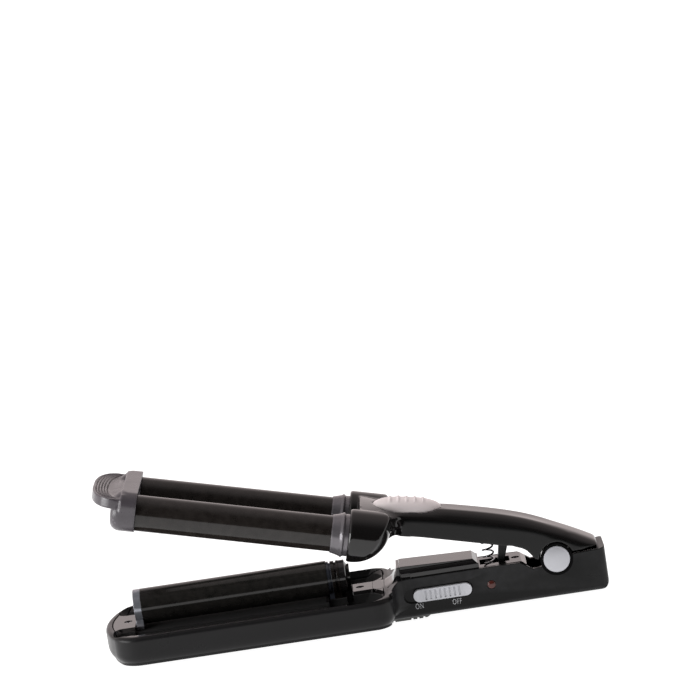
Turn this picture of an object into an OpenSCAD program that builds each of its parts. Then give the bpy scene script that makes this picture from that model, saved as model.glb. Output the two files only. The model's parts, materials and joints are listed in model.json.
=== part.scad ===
// Small three-barrel hair waver: two barrels on the upper arm, one barrel in the lower tray.
// X runs along the lower arm towards the cord end, Y across it, Z up.
// The origin is the middle of the lower grip pad's flat face, on which the waver stands.
// Sizes along X are taken from the hinge, and heights from the flat underside of the handle.

/* [General] */
// Which sub-part to draw
// Angle between the arms when they stand open, in degrees
open_angle = 15; // [12:0.5:18]

/* [Barrels] */
// Outer diameter of each barrel
barrel_d = 16; // [15:0.5:16.5]
// Wall of each barrel tube
barrel_wall = 1.1; // [0.8:0.1:1.6]
// Distance between the two upper barrels, centre to centre
barrel_spacing = 36; // [35.8:0.1:37]
// Distance from the hinge to the front end of the barrels
barrel_reach = 187.4; // [175:0.2:190]
// Height of the lower barrel's axis above the hinge
lower_axis_rise = 4.2; // [3.9:0.1:4.8]
// Height of the upper barrels' axes above the hinge when the arms are parallel
upper_axis_rise = 2.6; // [2.4:0.1:3.2]

/* [Lower tray] */
// Full width of the tray
tray_w = 62; // [61.5:0.5:66]
// Height of the tray's underside
tray_base_z = 2; // [1.8:0.1:2.4]
// Depth of the tray's rim below the hinge
rim_drop = 1.8; // [1.6:0.1:2.4]
// Radius of the tray's front corners, seen from above
nose_r = 13; // [11:0.5:14.5]
// Radius of the bow across the tray's front
bow_r = 55; // [48:1:80]
// Width of the rim around the tray
rim_w = 3; // [2.6:0.1:3.2]
// Rounding of the tray's lower edge
tray_edge_r = 5; // [4:0.5:6]
// Distance from the hinge to the tray's front
tray_reach = 204; // [202.6:0.2:208]

/* [Handle] */
// Width of both handles
handle_w = 21.6; // [21.6:0.2:24]
// Height of the hinge above the underside
pivot_z = 17; // [16.6:0.1:18]
// Wall of the lower handle
handle_wall = 2; // [1.6:0.1:2]
// Wall of the upper handle's sides
upper_wall = 1.6; // [1.2:0.1:1.6]
// Distance from the hinge to the rear end
rear_reach = 21.8; // [21:0.2:26]
// Hinge pin diameter
pin_d = 6; // [5:0.2:6.6]
// Radius of the round hinge ears
ear_r = 7.2; // [6.9:0.1:7.4]

/* [Switch and lamp] */
// Length of the switch button
switch_len = 26.2; // [22:0.2:27]
// Height of the switch button
switch_h = 5.7; // [5:0.1:6.4]
// Travel of the switch button from OFF to ON
switch_travel = 3.8; // [2.4:0.1:4]
// Distance from the hinge to the switch button's rear end, at OFF
switch_rear_x = 39.2; // [37.6:0.1:40]
// Height of the switch and the lamp
switch_z = 10; // [9.4:0.1:10.6]
// Diameter of the indicator lamp
lamp_d = 3.6; // [3:0.1:4.2]

/* [Grip pads] */
// Length of each oval grip pad
pad_len = 30; // [26:0.5:31]
// Width of each oval grip pad
pad_w = 15; // [13:0.5:15.6]
// Number of cross grooves in the upper pad
pad_grooves = 5; // [3:1:6]
// Distance between the grooves
pad_pitch = 3.6; // [3:0.1:4]

/* [Cord entry] */
// Bore for the cord
cord_bore_d = 5.4; // [4.4:0.2:6]

/* [Clearances] */
// Gap between pieces that move past each other
move_gap = 0.4; // [0.3:0.05:0.5]
// Gap around pieces that are set into a housing
fit_gap = 0.15; // [0.1:0.05:0.2]
// Running clearance of the hinge pin, on the radius
run_gap = 0.06; // [0.02:0.01:0.08]

/* [Hidden] */
$fn = 96;
eps = 0.01;
plenty = 60;

// colours
gloss_black = [0.06, 0.055, 0.06];
satin_black = [0.09, 0.09, 0.095];
barrel_black = [0.12, 0.11, 0.105];
trim_grey = [0.55, 0.54, 0.57];
pad_grey = [0.78, 0.76, 0.76];
knob_silver = [0.70, 0.71, 0.74];
cap_silver = [0.76, 0.76, 0.79];
steel = [0.66, 0.66, 0.68];
board_green = [0.10, 0.32, 0.18];
lamp_red = [0.55, 0.12, 0.10];
ceramic = [0.86, 0.85, 0.80];

// lower grip pad
pad_mid_lower_x = -71.5;
pad_rise_lower = 1.5;
pad_seat_lower = 3.2;
pad_roof = 1.2;
pad_end_run = 4;
pad_groove_w = 0.9;
pad_groove_deep = 0.6;
pad_groove_inset = 1.6;
lower_groove_pairs = 3;
lower_groove_pitch = 2.7;

// barrels
barrel_r = barrel_d / 2;
tube_inner_r = barrel_r - barrel_wall;
half_spacing = barrel_spacing / 2;
lower_axis_z = pivot_z + lower_axis_rise;
socket_deep = 3.5;
heater_r = tube_inner_r - fit_gap;
heater_rod_r = 2.4;
heater_len = 74;
seat_gap = 0.05;
heater_disc = 3;

// flared collars and cups of the upper arm
collar_front_x = -101.1;
collar_rear_x = -93.5;
collar_rise = 1.9;
collar_r = barrel_r + collar_rise;
collar_lip_rise = 0.4;
collar_lip_r = barrel_r + collar_lip_rise;
collar_band_rise = 1.3;
collar_band_r = barrel_r + collar_band_rise;
collar_ridge_x = -96;
collar_edge = 0.3;
collar_round = 1.4;
collar_step = 0.7;
cup_rise = 3.8;
cup_r = barrel_r + cup_rise;
cup_front_x = collar_rear_x;
cup_ball_in = 2;
cup_ball_x = cup_front_x + cup_ball_in;
cup_ball_over = 4.7;
cup_ball_r = cup_r + cup_ball_over;
cup_ball_lift = 5;
cup_edge = 0.7;

// end cap of the upper barrels
cap_rise = 0.9;
cap_r = barrel_r + cap_rise;
cap_lift = 0.3;
cap_len = 11.6;
cap_edge_r = 4;
cap_rear_edge = 0.5;
cap_rear_x = -barrel_reach;
cap_front_x = cap_rear_x - cap_len;
cap_spigot = 4;
cap_axis_rise = upper_axis_rise + cap_lift;
cap_crest_x = cap_front_x + cap_edge_r;
web_len = 8.2;
web_back_x = cap_front_x + web_len;
web_sunk = 0.15;
web_rear_sunk = 0.9;
web_drop = 4;
web_low = upper_axis_rise - web_drop;
web_top = cap_axis_rise + cap_r - web_sunk;
web_barrel_gap = 0.5;
web_gap_half = barrel_r + web_barrel_gap;

// thumb paddle
paddle_half_w = 22;
paddle_reach = 9.4;
paddle_arc_r = 38;
paddle_rise = 7.1;
paddle_top = upper_axis_rise + paddle_rise;
paddle_thick = 4.6;
paddle_top_edge_r = 0.9;
paddle_low_edge_r = 2.6;
paddle_sweep_r = 6;
paddle_sweep_in = 4.5;
paddle_sweep_x = cap_crest_x - paddle_sweep_in;
paddle_grooves = 5;
paddle_groove_start = 1.3;
paddle_groove_step = 1.15;
paddle_groove_w = 0.5;
paddle_groove_deep = 0.35;
paddle_front_x = cap_front_x - paddle_reach;
paddle_arc_x = paddle_front_x + paddle_arc_r;

// tray
tray_half = tray_w / 2;
rim_z = pivot_z - rim_drop;
rim_edge_r = 2;
tray_floor_t = 2.5;
tray_floor_z = tray_base_z + tray_floor_t;
tray_rear_x = -74.3;
tray_rear_r = 9;
nose_x = -tray_reach;
nose_cy = tray_half - nose_r;
bow_x = nose_x + bow_r;
nose_cx = bow_x - sqrt(pow(bow_r - nose_r, 2) - pow(nose_cy, 2));
bow_angle = atan2(nose_cy, bow_x - nose_cx);
neck_x = -65.5;
neck_slope_front_x = -76;
neck_slope_rear_x = -71.5;
pocket_wall = 3.6;
pocket_rear_x = tray_rear_x - pocket_wall;
pocket_rear_r = 6;
deck_sunk = 0.2;
deck_z = rim_z - deck_sunk;
deck_gap = 0.5;
strip_gap = 0.6;
strip_z = lower_axis_z - barrel_r - strip_gap;
strip_half = 12.3;
groove_axis_z = pivot_z + upper_axis_rise;
trough_gap = 1;
trough_r = barrel_r + trough_gap;
pit_gap = 0.4;
pit_lift = 1.2;
collar_bay_gap = 1.8;
collar_bay_x = collar_front_x - collar_bay_gap;
collar_bay_room = 0.8;
collar_bay_r = collar_r + collar_bay_room;
cup_gap = 0.6;
well_front_gap = 1.2;
well_front_x = cup_front_x - well_front_gap;
strip_front_x = -190;
foot_room_half = 9;
foot_room_z = 9;
ramp_front_x = -83;
ramp_rear_x = -70.4;
ramp_half = 8.4;
ramp_r = 7.6;
ramp_rise = 8.2;
ramp_seat = 1.5;
ramp_land = 1.5;

// front cap, rear collar and holder of the lower barrel
front_cap_x = -189.6;
front_cap_rear_x = -186.3;
front_foot_half = 6.6;
front_foot_flare = 1.7;
front_foot_r = 3.4;
front_foot_h = 1;
lower_barrel_rear_x = -102.3;
rear_collar_len = 5.5;
rear_collar_rear_x = lower_barrel_rear_x + rear_collar_len;
foot_room_gap = 1.7;
foot_room_front_x = lower_barrel_rear_x - foot_room_gap;
foot_room_len = 4.9;
foot_room_rear_x = rear_collar_rear_x + foot_room_len;
holder_end_gap = 0.2;
holder_rear_x = foot_room_rear_x - holder_end_gap;
rear_collar_step = 0.5;
rear_collar_r = barrel_r - rear_collar_step;
rear_groove_w = 0.8;
rear_groove_deep = 0.7;
rear_groove_in = 1.1;
rear_foot_half = 4.6;
holder_step = 0.6;
holder_r = barrel_r - holder_step;
holder_cone_in = 2.6;
holder_cone_x = rear_collar_rear_x + holder_cone_in;
holder_tip_r = 5.3;
holder_foot_half = 3.6;

// lower handle
handle_half = handle_w / 2;
inner_half = handle_half - handle_wall;
wall_top_rise = 1;
wall_top_z = pivot_z + wall_top_rise;
floor_z = 2.2;
handle_front_x = neck_slope_front_x;
cavity_front_x = -70;
rear_x = rear_reach;
rear_wall = 3.3;
handle_edge_r = 2;
rear_edge_r = 4.4;
rear_plan_r = 3;
rear_rise = 2.5;
rear_slope = 0.7;
// upper edge of the sides by the hinge, from rear to front: place along X, height above the hinge
ear_edge = [[8, 1.4], [4, 0], [-6.5, -2.1], [-7.9, -2.6], [-11.1, -2.8], [-13.5, -1.1],
    [-16.4, 0.8], [-24, 1]];

// lid with the raised block
lid_front_x = cavity_front_x + fit_gap;
lid_rear_x = -13.4;
lid_lip = 2.4;
lid_low_z = wall_top_z - lid_lip;
lid_rear_edge = 0.6;
lid_half = inner_half - fit_gap;
ledge_front_x = -65.5;
ledge_half = 9.4;
ledge_rise = 3.2;
ledge_top_z = pivot_z + ledge_rise;
block_rear_x = -34.6;
block_half = handle_half - upper_wall - move_gap;
block_front_rise = 6.3;
block_front_z = pivot_z + block_front_rise;
block_rear_rise = 5.2;
block_rear_z = pivot_z + block_rear_rise;
block_edge_r = 2.4;
window_front_x = -34;
window_rear_x = -20.6;
window_half = 4.4;
slope_front_x = -15.6;

// upper handle
arch_steps = 16;
arch_low = -3;
shell_steps = 36;
hollow_steps = 33;
upper_inner = handle_half - upper_wall;
tail_x = 17.6;
tail_wall = 2;
yoke_front_x = -89.5;
hollow_front_x = -83.6;
hollow_top = 10.8;
hollow_step_x = -51;
ear_gap = move_gap;
tongue_half = inner_half - move_gap;
tongue_r = 6.4;
tongue_web = 4.4;
tongue_top = 12;
pad_mid_upper_x = -68.5;
pad_seat_upper = 12.2;
pad_top_upper = 18.2;
pad_cross_r = 14;
pad_length_r = 120;

// cover under the upper handle
cover_front_x = -50.6;
cover_rear_x = -11;
cover_thick = 1.6;
cover_low = 8.6;
cover_half = upper_inner - fit_gap;
lug_front_x = -26.4;
lug_rear_x = -21.4;
lug_low = -8.4;
lug_half = 2.2;
lug_tip_len = 2.4;
lug_lean = 1.4;

// spring
spring_x = -29.6;
spring_low_z = 8;
spring_top_z = 32.2;
spring_r = 2.4;
spring_wire_r = 0.45;
spring_turns = 9;
spring_steps = 14;
spring_sides = 6;
spring_post_gap = 0.25;
spring_post_r = spring_r - spring_wire_r - spring_post_gap;
spring_post_h = 4;
spring_foot = 0.5;
spring_level = 0.08;
spring_creep = 0.004;

// hinge
pin_r = pin_d / 2;
pin_seat = 0.02;
ear_recess = 1.1;
ear_recess_rim = 0.6;
ear_recess_r = ear_r - ear_recess_rim;
cap_disc_gap = 0.7;
cap_disc_r = ear_recess_r - cap_disc_gap;
cap_disc_t = 1;
cap_dome_h = 0.6;
cap_dome_r = (pow(cap_disc_r, 2) + pow(cap_dome_h, 2)) / (2 * cap_dome_h);

// screws
screw_head_r = 1.7;
screw_head_t = 1;
screw_shank_r = 0.9;
screw_shank = 5;
screw_slot_w = 0.5;
screw_slot_half = screw_head_r * 0.6;
screw_slot_deep = 0.4;
screw_sunk = 0.4;
front_screw_x = -193.8;
rear_screw_gap = 3.3;
rear_screw_x = foot_room_rear_x + rear_screw_gap;
lid_screw_x = -18;
cover_screw_xs = [-46, -15];

// cord bushing
bushing_wall = 2;
bushing_r = cord_bore_d / 2 + bushing_wall;
bushing_z = 9;
bushing_flange = 1.2;
bushing_sunk = 0.3;

// switch
slot_gap = 0.35;
knob_proud = 1.5;
knob_slot_deep = 0.9;
stem_len = 6;
stem_h = 2.2;
stem_in = 2.9;
knob_mid_x = -switch_rear_x - switch_len / 2;
knob_grooves = 8;
knob_groove_pitch = 2.15;
knob_groove_w = 0.7;
knob_groove_deep = 0.45;
knob_groove_inset = 0.8;
switch_body_len = 16;
switch_body_t = 3.4;
switch_body_h = 8;
stem_room_gap = 0.5;
stem_room_deep = 1.4;
board_t = 1.6;
board_y = 3.2;
board_front_x = -66;
board_rear_x = -37;
board_low_z = pad_seat_lower + pad_roof;
board_top_z = 15.2;
can_r = 2.6;
can_h = 4;
can_inset = 5;
can_pitch = 9;
chip_len = 6;
chip_inset = 3;
chip_low = -4;
chip_top = 3;
chip_h = 3;
lamp_x = -30.3;
lamp_flange_rim = 0.8;
lamp_flange_r = lamp_d / 2 + lamp_flange_rim;
lamp_proud = 0.5;
lamp_flange_t = 1.2;
lamp_dome_r = lamp_d * 0.75;

// places a shape of the lower arm, drawn from the hinge
module lower_arm() {
    translate([-pad_mid_lower_x, 0, pad_rise_lower])
        children();
}

// places a shape of the upper arm, drawn from the hinge with the arms parallel
module upper_arm() {
    translate([-pad_mid_lower_x, 0, pad_rise_lower + pivot_z])
        rotate([0, open_angle, 0])
            children();
}

// a cylinder along X from x0 to x1
module rod_x(x0, x1, r) {
    translate([x0, 0, 0])
        rotate([0, 90, 0])
            cylinder(h = x1 - x0, r = r);
}

// a cylinder along Y from y0 to y1
module rod_y(y0, y1, r) {
    translate([0, y1, 0])
        rotate([90, 0, 0])
            cylinder(h = y1 - y0, r = r);
}

// a box from its lowest to its highest corner
module box(low, high) {
    translate(low)
        cube(high - low);
}

// an outline drawn in X and Z, made solid across Y
module across(y0, y1) {
    translate([0, y1, 0])
        rotate([90, 0, 0])
            linear_extrude(height = y1 - y0)
                children();
}

// an outline drawn in Y and Z, made solid along X
module along(x0, x1) {
    translate([x0, 0, 0])
        rotate([90, 0, 90])
            linear_extrude(height = x1 - x0)
                children();
}

// an outline of radius and place along X, turned about the X axis
module turned_x() {
    rotate([0, 90, 0])
        rotate_extrude()
            children();
}

// the same shape on both sides of the middle
module both_sides() {
    children();
    mirror([0, 1, 0])
        children();
}

// a long round-ended outline
module stadium(len, wide) {
    r = wide / 2;
    square([len - wide, wide], center = true);
    for (side = [-1, 1])
        translate([side * (len / 2 - r), 0])
            circle(r = r);
}

// a screw with the top of its head at the origin
module screw() {
    difference() {
        union() {
            translate([0, 0, -screw_head_t])
                cylinder(h = screw_head_t, r = screw_head_r);
            translate([0, 0, -screw_shank])
                cylinder(h = screw_shank, r = screw_shank_r);
        }
        for (turn = [0, 90])
            rotate([0, 0, turn])
                box([-screw_slot_half, -screw_slot_w / 2, -screw_slot_deep],
                    [screw_slot_half, screw_slot_w / 2, 1]);
    }
}

// the hole around such a screw
module screw_hole() {
    translate([0, 0, -screw_head_t])
        cylinder(h = plenty, r = screw_head_r + fit_gap);
    translate([0, 0, -screw_shank])
        cylinder(h = screw_shank, r = screw_shank_r);
}

// edge of the tray: distance outwards from a corner's centre, and height
module tray_edge(r) {
    high = rim_z - tray_base_z;
    intersection() {
        square([r, high]);
        union() {
            square([r - tray_edge_r, high]);
            translate([r - tray_edge_r, tray_edge_r])
                circle(r = tray_edge_r);
            translate([0, tray_edge_r])
                square([r, high - tray_edge_r - rim_edge_r]);
            square([r - rim_edge_r, high - rim_edge_r]);
            translate([0, tray_edge_r])
                square([r - rim_edge_r, high - tray_edge_r]);
            translate([r - rim_edge_r, high - rim_edge_r])
                circle(r = rim_edge_r);
        }
    }
}

// the part of the plan in which the bow across the front lies
module bow_wedge() {
    far = bow_r * 2;
    polygon([[bow_x, 0], [bow_x - far * (bow_x - nose_cx), far * nose_cy],
        [bow_x - far * (bow_x - nose_cx), -far * nose_cy]]);
}

// outer body of the tray, with rounded corners and edges
module tray_body() {
    rear_cx = tray_rear_x - tray_rear_r;
    rear_cy = tray_half - tray_rear_r;
    translate([0, 0, tray_base_z]) {
        both_sides() {
            translate([nose_cx, nose_cy, 0])
                rotate([0, 0, 90])
                    rotate_extrude(angle = 90 - bow_angle)
                        tray_edge(nose_r);
            translate([rear_cx, rear_cy, 0])
                rotate_extrude()
                    tray_edge(tray_rear_r);
            translate([0, nose_cy, 0])
                along(nose_cx, rear_cx)
                    tray_edge(nose_r);
        }
        translate([bow_x, 0, 0])
            rotate([0, 0, 180 - bow_angle])
                rotate_extrude(angle = 2 * bow_angle)
                    tray_edge(bow_r);
        translate([rear_cx, rear_cy, 0])
            rotate([90, 0, 0])
                linear_extrude(height = 2 * rear_cy)
                    tray_edge(tray_rear_r);
        box([nose_cx, -nose_cy, 0], [rear_cx, nose_cy, rim_z - tray_base_z]);
    }
}

// the curved shoulders between the tray and the handle
module neck() {
    low_cx = tray_rear_x - tray_rear_r;
    low_cy = tray_half - tray_rear_r;
    run = neck_x - low_cx;
    side = low_cy - handle_half;
    curve_r = (pow(run, 2) + pow(side, 2) - pow(tray_rear_r, 2)) / (2 * (side + tray_rear_r));
    curve_y = handle_half + curve_r;
    high = wall_top_z - tray_base_z;
    difference() {
        box([low_cx, -low_cy, tray_base_z], [neck_x, low_cy, wall_top_z]);
        both_sides()
            translate([neck_x, curve_y, tray_base_z])
                rotate_extrude()
                    difference() {
                        translate([0, -1])
                            square([curve_r + tray_edge_r, high + 2]);
                        translate([curve_r, tray_edge_r])
                            square([tray_edge_r + 1, high]);
                        translate([curve_r + tray_edge_r, tray_edge_r])
                            circle(r = tray_edge_r);
                    }
        across(-plenty, plenty)
            polygon([[low_cx - 1, rim_z], [neck_slope_front_x, rim_z],
                [neck_slope_rear_x, wall_top_z], [neck_slope_rear_x, plenty], [low_cx - 1, plenty]]);
    }
}

// side outline of the lower handle
module handle_side() {
    difference() {
        union() {
            polygon(concat([[handle_front_x, 0], [rear_x, 0], [rear_x, pivot_z + rear_rise],
                [rear_x - rear_wall, pivot_z + rear_rise - rear_slope]],
                [for (p = ear_edge) [p[0], pivot_z + p[1]]],
                [[neck_slope_rear_x, wall_top_z], [handle_front_x, rim_z]]));
            translate([0, pivot_z])
                circle(r = ear_r);
        }
        difference() {
            translate([rear_x - rear_edge_r, -1])
                square([rear_edge_r + 1, rear_edge_r + 1]);
            translate([rear_x - rear_edge_r, rear_edge_r])
                circle(r = rear_edge_r);
        }
    }
}

// cross outline of the lower handle, with rounded lower edges
module handle_cross() {
    translate([0, plenty / 2 + handle_edge_r])
        square([2 * handle_half, plenty], center = true);
    translate([-handle_half + handle_edge_r, 0])
        square([2 * (handle_half - handle_edge_r), handle_edge_r + 1]);
    for (side = [-1, 1])
        translate([side * (handle_half - handle_edge_r), handle_edge_r])
            circle(r = handle_edge_r);
}

// plan of the lower handle, with rounded rear corners
module handle_plan() {
    translate([handle_front_x, -handle_half])
        square([rear_x - rear_plan_r - handle_front_x, 2 * handle_half]);
    translate([handle_front_x, -handle_half + rear_plan_r])
        square([rear_x - handle_front_x, 2 * (handle_half - rear_plan_r)]);
    for (side = [-1, 1])
        translate([rear_x - rear_plan_r, side * (handle_half - rear_plan_r)])
            circle(r = rear_plan_r);
}

// outer body of the lower handle
module handle_body() {
    intersection() {
        across(-plenty, plenty)
            handle_side();
        along(handle_front_x, rear_x)
            handle_cross();
        linear_extrude(height = plenty)
            handle_plan();
    }
}

// plan of the tray's pocket, made smaller by the given gap
module pocket_plan(gap) {
    nose_in = nose_r - rim_w - gap;
    rear_in = pocket_rear_r - gap;
    side = tray_half - rim_w;
    rear_cx = pocket_rear_x - pocket_rear_r;
    rear_cy = side - pocket_rear_r;
    for (flip = [-1, 1]) {
        translate([nose_cx, flip * nose_cy])
            circle(r = nose_in);
        translate([rear_cx, flip * rear_cy])
            circle(r = rear_in);
    }
    translate([nose_cx, -side + gap])
        square([rear_cx - nose_cx, 2 * (side - gap)]);
    intersection() {
        translate([bow_x, 0])
            circle(r = bow_r - rim_w - gap);
        bow_wedge();
    }
    translate([rear_cx - 1, -rear_cy])
        square([pocket_rear_r + 1 - gap, 2 * rear_cy]);
}

// round-edged cap over the front of a barrel, made larger all round by grow
module barrel_cap(grow) {
    r = cap_r + grow;
    front = cap_front_x - grow;
    turned_x() {
        translate([0, front])
            square([r - cap_edge_r, cap_rear_x - front]);
        translate([0, front + cap_edge_r])
            square([r, cap_rear_x - cap_rear_edge - front - cap_edge_r]);
        translate([0, front + cap_edge_r])
            square([r - cap_rear_edge, cap_rear_x - front - cap_edge_r]);
        intersection() {
            translate([r - cap_edge_r, front + cap_edge_r])
                circle(r = cap_edge_r);
            translate([0, front])
                square([r, cap_len]);
        }
    }
}

// bullet-shaped rear of a barrel's cup, made larger all round by grow
module cup_body(front_x, grow) {
    intersection() {
        rod_x(front_x, front_x + 2 * cup_ball_r, cup_r + grow);
        translate([cup_ball_x, 0, cup_ball_lift])
            sphere(r = cup_ball_r + grow);
    }
}

// room for the two upper barrels, their end caps, collars and cups
module upper_barrel_room() {
    both_sides() {
        translate([0, half_spacing, groove_axis_z]) {
            rod_x(strip_front_x, collar_bay_x + 1, trough_r);
            rod_x(collar_bay_x, well_front_x + 1, collar_bay_r);
            cup_body(well_front_x, cup_gap);
        }
        translate([0, half_spacing, pivot_z + cap_axis_rise + pit_lift])
            barrel_cap(pit_gap);
    }
}

// the slot in the side wall that the switch button runs in
module switch_slot() {
    slot_len = switch_len + switch_travel + 2 * slot_gap;
    slot_mid = knob_mid_x - switch_travel / 2;
    translate([slot_mid, -handle_half - 1, switch_z])
        rotate([-90, 0, 0])
            linear_extrude(height = knob_slot_deep + 1)
                stadium(slot_len, switch_h + 2 * slot_gap);
    stem_room = stem_len + switch_travel + 2 * slot_gap;
    box([slot_mid - stem_room / 2, -handle_half - 1, switch_z - stem_h / 2 - slot_gap],
        [slot_mid + stem_room / 2, -inner_half + 1, switch_z + stem_h / 2 + slot_gap]);
}

// lower shell: tray, neck, handle and hinge ears
module lower_housing() {
    color(satin_black)
        lower_arm()
            difference() {
                union() {
                    tray_body();
                    neck();
                    handle_body();
                }
                translate([0, 0, tray_floor_z])
                    linear_extrude(height = plenty)
                        pocket_plan(0);
                upper_barrel_room();
                box([cavity_front_x, -inner_half, pad_seat_lower + pad_roof],
                    [rear_x - rear_wall, inner_half, plenty]);
                box([pad_mid_lower_x + pad_len / 2 + pad_roof, -inner_half, floor_z],
                    [rear_x - rear_wall, inner_half, plenty]);
                both_sides() {
                    translate([0, 0, pivot_z]) {
                        rod_y(handle_half - ear_recess, handle_half + 1, ear_recess_r);
                        rod_y(inner_half - 1, handle_half, pin_r + pin_seat);
                    }
                }
                switch_slot();
                translate([lamp_x, 0, switch_z])
                    rod_y(-handle_half - 1, -inner_half + 1, lamp_d / 2 + fit_gap);
                translate([0, 0, bushing_z])
                    rod_x(rear_x - rear_wall - 1, rear_x + 1, bushing_r + fit_gap);
                translate([pad_mid_lower_x, 0, -plenty])
                    linear_extrude(height = plenty + pad_seat_lower)
                        stadium(pad_len + 2 * fit_gap, pad_w + 2 * fit_gap);
            }
    color(satin_black)
        lower_arm()
            translate([spring_x, 0, floor_z - spring_foot]) {
                cylinder(h = spring_low_z - floor_z + spring_foot,
                    r = spring_r + spring_wire_r + spring_foot);
                cylinder(h = spring_low_z - floor_z + spring_post_h, r = spring_post_r);
            }
}

// insert that fills the tray, with room for every barrel
module tray_deck() {
    color(gloss_black)
        lower_arm()
            difference() {
                translate([0, 0, tray_floor_z])
                    linear_extrude(height = deck_z - tray_floor_z)
                        pocket_plan(deck_gap);
                box([strip_front_x, -strip_half, strip_z], [foot_room_front_x + 1, strip_half, plenty]);
                box([foot_room_front_x, -foot_room_half, foot_room_z],
                    [foot_room_rear_x, foot_room_half, plenty]);
                upper_barrel_room();
                for (x = [front_screw_x, rear_screw_x])
                    translate([x, 0, deck_z - screw_sunk])
                        screw_hole();
                translate([ramp_front_x, -ramp_half, deck_z - ramp_seat])
                    cube([plenty, 2 * ramp_half, plenty]);
            }
}

// curved ramp between the cup wells, rising to the raised block
module deck_ramp() {
    arc_x = ramp_front_x + ramp_land;
    low_z = deck_z - ramp_seat;
    color(gloss_black)
        lower_arm()
            difference() {
                across(-ramp_half + fit_gap, ramp_half - fit_gap)
                    difference() {
                        translate([ramp_front_x + fit_gap, low_z])
                            square([ramp_rear_x - ramp_front_x - fit_gap, ramp_rise + ramp_seat]);
                        translate([ramp_front_x - 1, deck_z])
                            square([arc_x - ramp_front_x + 1, plenty]);
                        translate([arc_x, deck_z + ramp_r])
                            circle(r = ramp_r);
                        translate([arc_x - 1, deck_z + ramp_r])
                            square([ramp_r + 1, plenty]);
                    }
                upper_barrel_room();
                across(-plenty, plenty)
                    polygon([[pocket_rear_x - deck_gap, 0], [pocket_rear_x - deck_gap, rim_z],
                        [neck_slope_front_x, rim_z], [neck_slope_rear_x, wall_top_z],
                        [0, wall_top_z], [0, 0]]);
            }
}

// the two screws of the tray insert
module deck_screws() {
    color(steel)
        lower_arm()
            for (x = [front_screw_x, rear_screw_x])
                translate([x, 0, deck_z - screw_sunk])
                    screw();
}

// a barrel tube between two places along X
module barrel_tube(x0, x1) {
    difference() {
        rod_x(x0, x1, barrel_r);
        rod_x(x0 - 1, x1 + 1, tube_inner_r);
    }
}

// heating element with end discs inside a barrel, resting against its rear stop
module heater(rear_x) {
    rod_x(rear_x - heater_len, rear_x, heater_rod_r);
    rod_x(rear_x - heater_len, rear_x - heater_len + heater_disc, heater_r);
    rod_x(rear_x - heater_disc, rear_x, heater_r);
}

// fixed barrel of the lower arm
module lower_barrel() {
    color(barrel_black)
        lower_arm()
            translate([0, 0, lower_axis_z])
                barrel_tube(front_cap_rear_x, lower_barrel_rear_x);
}

// heating element of the lower barrel
module lower_heater() {
    color(ceramic)
        lower_arm()
            translate([0, 0, lower_axis_z])
                heater(lower_barrel_rear_x - cap_spigot - seat_gap);
}

// bracket that closes and carries the front of the lower barrel
module lower_front_cap() {
    color(trim_grey)
        lower_arm() {
            translate([0, 0, lower_axis_z]) {
                rod_x(front_cap_x, front_cap_rear_x, barrel_r);
                rod_x(front_cap_rear_x - eps, front_cap_rear_x + cap_spigot, tube_inner_r - fit_gap);
            }
            along(front_cap_x, front_cap_rear_x)
                difference() {
                    translate([-front_foot_half - front_foot_flare, strip_z])
                        square([2 * (front_foot_half + front_foot_flare), barrel_r]);
                    for (side = [-1, 1])
                        translate([side * (front_foot_half + front_foot_r),
                            strip_z + front_foot_h + front_foot_r]) {
                            circle(r = front_foot_r);
                            translate([-front_foot_r, 0])
                                square([2 * front_foot_r, barrel_r]);
                        }
                }
        }
}

// grooved foot that carries the rear of the lower barrel
module lower_rear_collar() {
    color(trim_grey)
        lower_arm()
            difference() {
                union() {
                    translate([0, 0, lower_axis_z]) {
                        rod_x(lower_barrel_rear_x, rear_collar_rear_x, rear_collar_r);
                        rod_x(lower_barrel_rear_x - cap_spigot, lower_barrel_rear_x + eps,
                            tube_inner_r - fit_gap);
                    }
                    box([lower_barrel_rear_x, -rear_foot_half, foot_room_z],
                        [rear_collar_rear_x, rear_foot_half, lower_axis_z]);
                }
                for (x = [lower_barrel_rear_x + rear_groove_in,
                    rear_collar_rear_x - rear_groove_in - rear_groove_w])
                    translate([0, 0, lower_axis_z])
                        difference() {
                            rod_x(x, x + rear_groove_w, rear_collar_r + 1);
                            rod_x(x - 1, x + 2, rear_collar_r - rear_groove_deep);
                            box([x - 1, -rear_foot_half, -plenty], [x + 2, rear_foot_half, 0]);
                        }
            }
}

// dark ring behind the rear collar, coned to clear the cups
module lower_barrel_holder() {
    color(gloss_black)
        lower_arm() {
            translate([0, 0, lower_axis_z])
                turned_x()
                    polygon([[0, rear_collar_rear_x], [holder_r, rear_collar_rear_x],
                        [holder_r, holder_cone_x], [holder_tip_r, holder_cone_x + 1],
                        [holder_tip_r, holder_rear_x], [0, holder_rear_x]]);
            box([rear_collar_rear_x, -holder_foot_half, foot_room_z],
                [holder_rear_x, holder_foot_half, lower_axis_z]);
        }
}

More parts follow.
